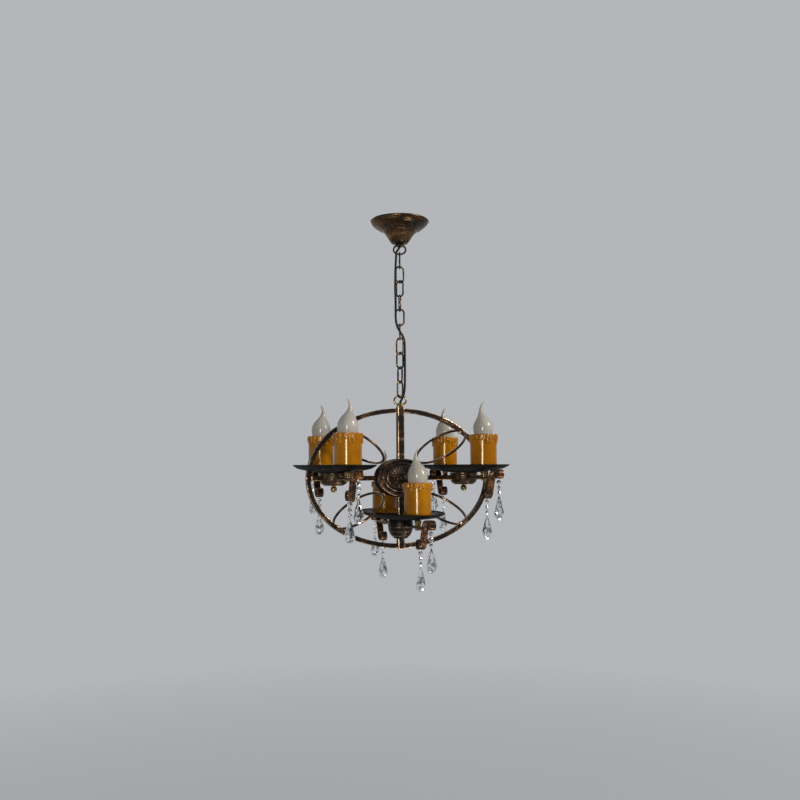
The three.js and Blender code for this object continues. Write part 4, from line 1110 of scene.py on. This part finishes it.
def pendant_shapes():
    pin = lathe([(0, 1.7), (1.3, 1.3), (1.75, 0.2), (1.3, -1), (0.62, -1.6), (0.62, -6.2), (0, -6.2)], 16)
    links = []
    for middle in (-6.1, -15, -24, -33):
        ring = ellipse_places(Vector((0, 0, middle)), Vector((1.1, 0, 0)), Vector((0, 0, 1.3)), 20)
        links.append(flat_sweep(ring, circle_section(0.4, 8), Vector((0, 1, 0)), True))
    bead = faceted([(0.9, 4.0), (3.4, 2.7), (4.6, 0.7), (4.6, -0.7), (3.4, -2.7), (0.9, -4.0)], 8, 0.72)
    beads = [moved(bead, at(z=z, turn=31 * number)) for number, z in enumerate((-10.5, -19.5, -28.5))]
    drop = faceted([(1.0, -33.6), (2.6, -38), (4.6, -44.5), (6.8, -52), (8.8, -59.5), (9.4, -64), (8.6, -68),
                    (6.2, -71.8), (2.6, -74.7)], 10, 0.58)
    return merge(pin, *links), merge(*beads), drop


def pendants():
    rng = random.Random(7)
    metal, beads, drop = pendant_shapes()
    for tag, x, side, level in CANDLES:
        for roll, (y, z) in (("head", HEAD_SEAT), ("foot", FOOT_SEAT)):
            body = f"pendant_{tag}_{roll}"
            place = at(x, side * y, level + z + PIVOT_ABOVE_STRIP)
            turned = place @ Matrix.Rotation(math.radians(rng.uniform(-25, 35)), 4, "Z")
            piece(f"crystal_drop_{tag}_{roll}", moved(drop, turned), crystal, body, "crystal", body, sharp=1)
            piece(f"crystal_beads_{tag}_{roll}", moved(beads, turned), crystal, body, "crystal", sharp=1)
            piece(f"pendant_wire_{tag}_{roll}", moved(metal, turned), pin_wire, body, "zinc_steel")


pendants()


# Floor, backdrop and light

BACKDROP = (0.455, 0.468, 0.485)
DIM_ROOM = (0.14, 0.145, 0.15)
ROOM_FILL = (0.13, 0.134, 0.142)


def stage_look(name):
    """Pale cloth. Away from the part it shows the backdrop's plain colour, and near it the shadow too."""
    look = Look(name)
    cloth = look.noise(3, 3, 0.5)
    shade = look.ramp(cloth, (0.3, tuple(c * 0.97 for c in BACKDROP)), (0.7, BACKDROP))
    look.set(Base_Color=shade, Roughness=0.9, Specular_IOR_Level=0.1)
    distance = look.add("ShaderNodeVectorMath", operation="LENGTH")
    look.link(look.place, distance.inputs[0])
    far = look.ramp(look.math("MULTIPLY", distance.outputs["Value"], 0.2), (0.3, 0.55), (0.7, 1.0))
    share = look.math("MULTIPLY", far, look.any_ray("Camera", "Glossy", "Transmission"))
    shown = look.blend(share, look.shader.outputs[0], look.glow("ShaderNodeEmission", BACKDROP))
    look.link(shown, look.tree.nodes["Material Output"].inputs["Surface"])
    return look.material


def stage():
    """Wide level floor, well under the part."""
    half, low = 9000, -1500
    corners = [(-half, -half, low), (half, -half, low), (half, half, low), (-half, half, low)]
    mesh_object("floor", corners, [(0, 1, 2, 3)], stage_look("pale_backdrop"))


def area_light(name, place, target, size, power, colour=(1, 1, 1)):
    """Soft lamp. Its places and size are in metres, and its power is in watts."""
    data = bpy.data.lights.new(name, "AREA")
    data.shape = "RECTANGLE"
    data.size, data.size_y = size
    data.energy = power
    data.color = colour
    light = bpy.data.objects.new(name, data)
    light.location = place
    light.rotation_euler = (Vector(target) - Vector(place)).to_track_quat("-Z", "Y").to_euler()
    bpy.context.scene.collection.objects.link(light)


def world():
    """Soft fill for the part, and the plain backdrop for what is seen, mirrored or seen through glass."""
    data = bpy.data.worlds.new("pale_room")
    data.use_nodes = True
    room = Nodes(data.node_tree)
    fill = room.tree.nodes["Background"]
    room.feed(fill.inputs["Color"], ROOM_FILL)
    backdrop = room.glow("ShaderNodeBackground", BACKDROP)
    direction = room.add("ShaderNodeSeparateXYZ")
    room.link(room.add("ShaderNodeTexCoord").outputs["Generated"], direction.inputs[0])
    depth = room.ramp(direction.outputs["Y"], (0.0, DIM_ROOM), (0.4, BACKDROP))
    mirrored = room.glow("ShaderNodeBackground", depth)
    unseen = room.blend(room.any_ray("Glossy", "Transmission"), fill.outputs[0], mirrored)
    shown = room.blend(room.any_ray("Camera"), unseen, backdrop)
    room.link(shown, room.tree.nodes["World Output"].inputs["Surface"])
    bpy.context.scene.world = data


stage()
world()
area_light("key_softbox", (1.7, -1.5, 0.7), (0, 0, -0.35), (0.5, 1.1), 50, (1, 0.97, 0.93))
area_light("rim_softbox", (0.6, 2.2, 0.7), (0, 0, -0.35), (1.2, 0.8), 9)
area_light("window_strip", (-0.92, -1.66, -0.48), (0, 0, -0.47), (0.28, 0.4), 14)
area_light("low_softbox", (0.4, -0.45, -1.35), (0, 0, -0.05), (0.4, 0.4), 2.5, (1, 0.95, 0.88))

bpy.context.scene.view_settings.view_transform = "Standard"
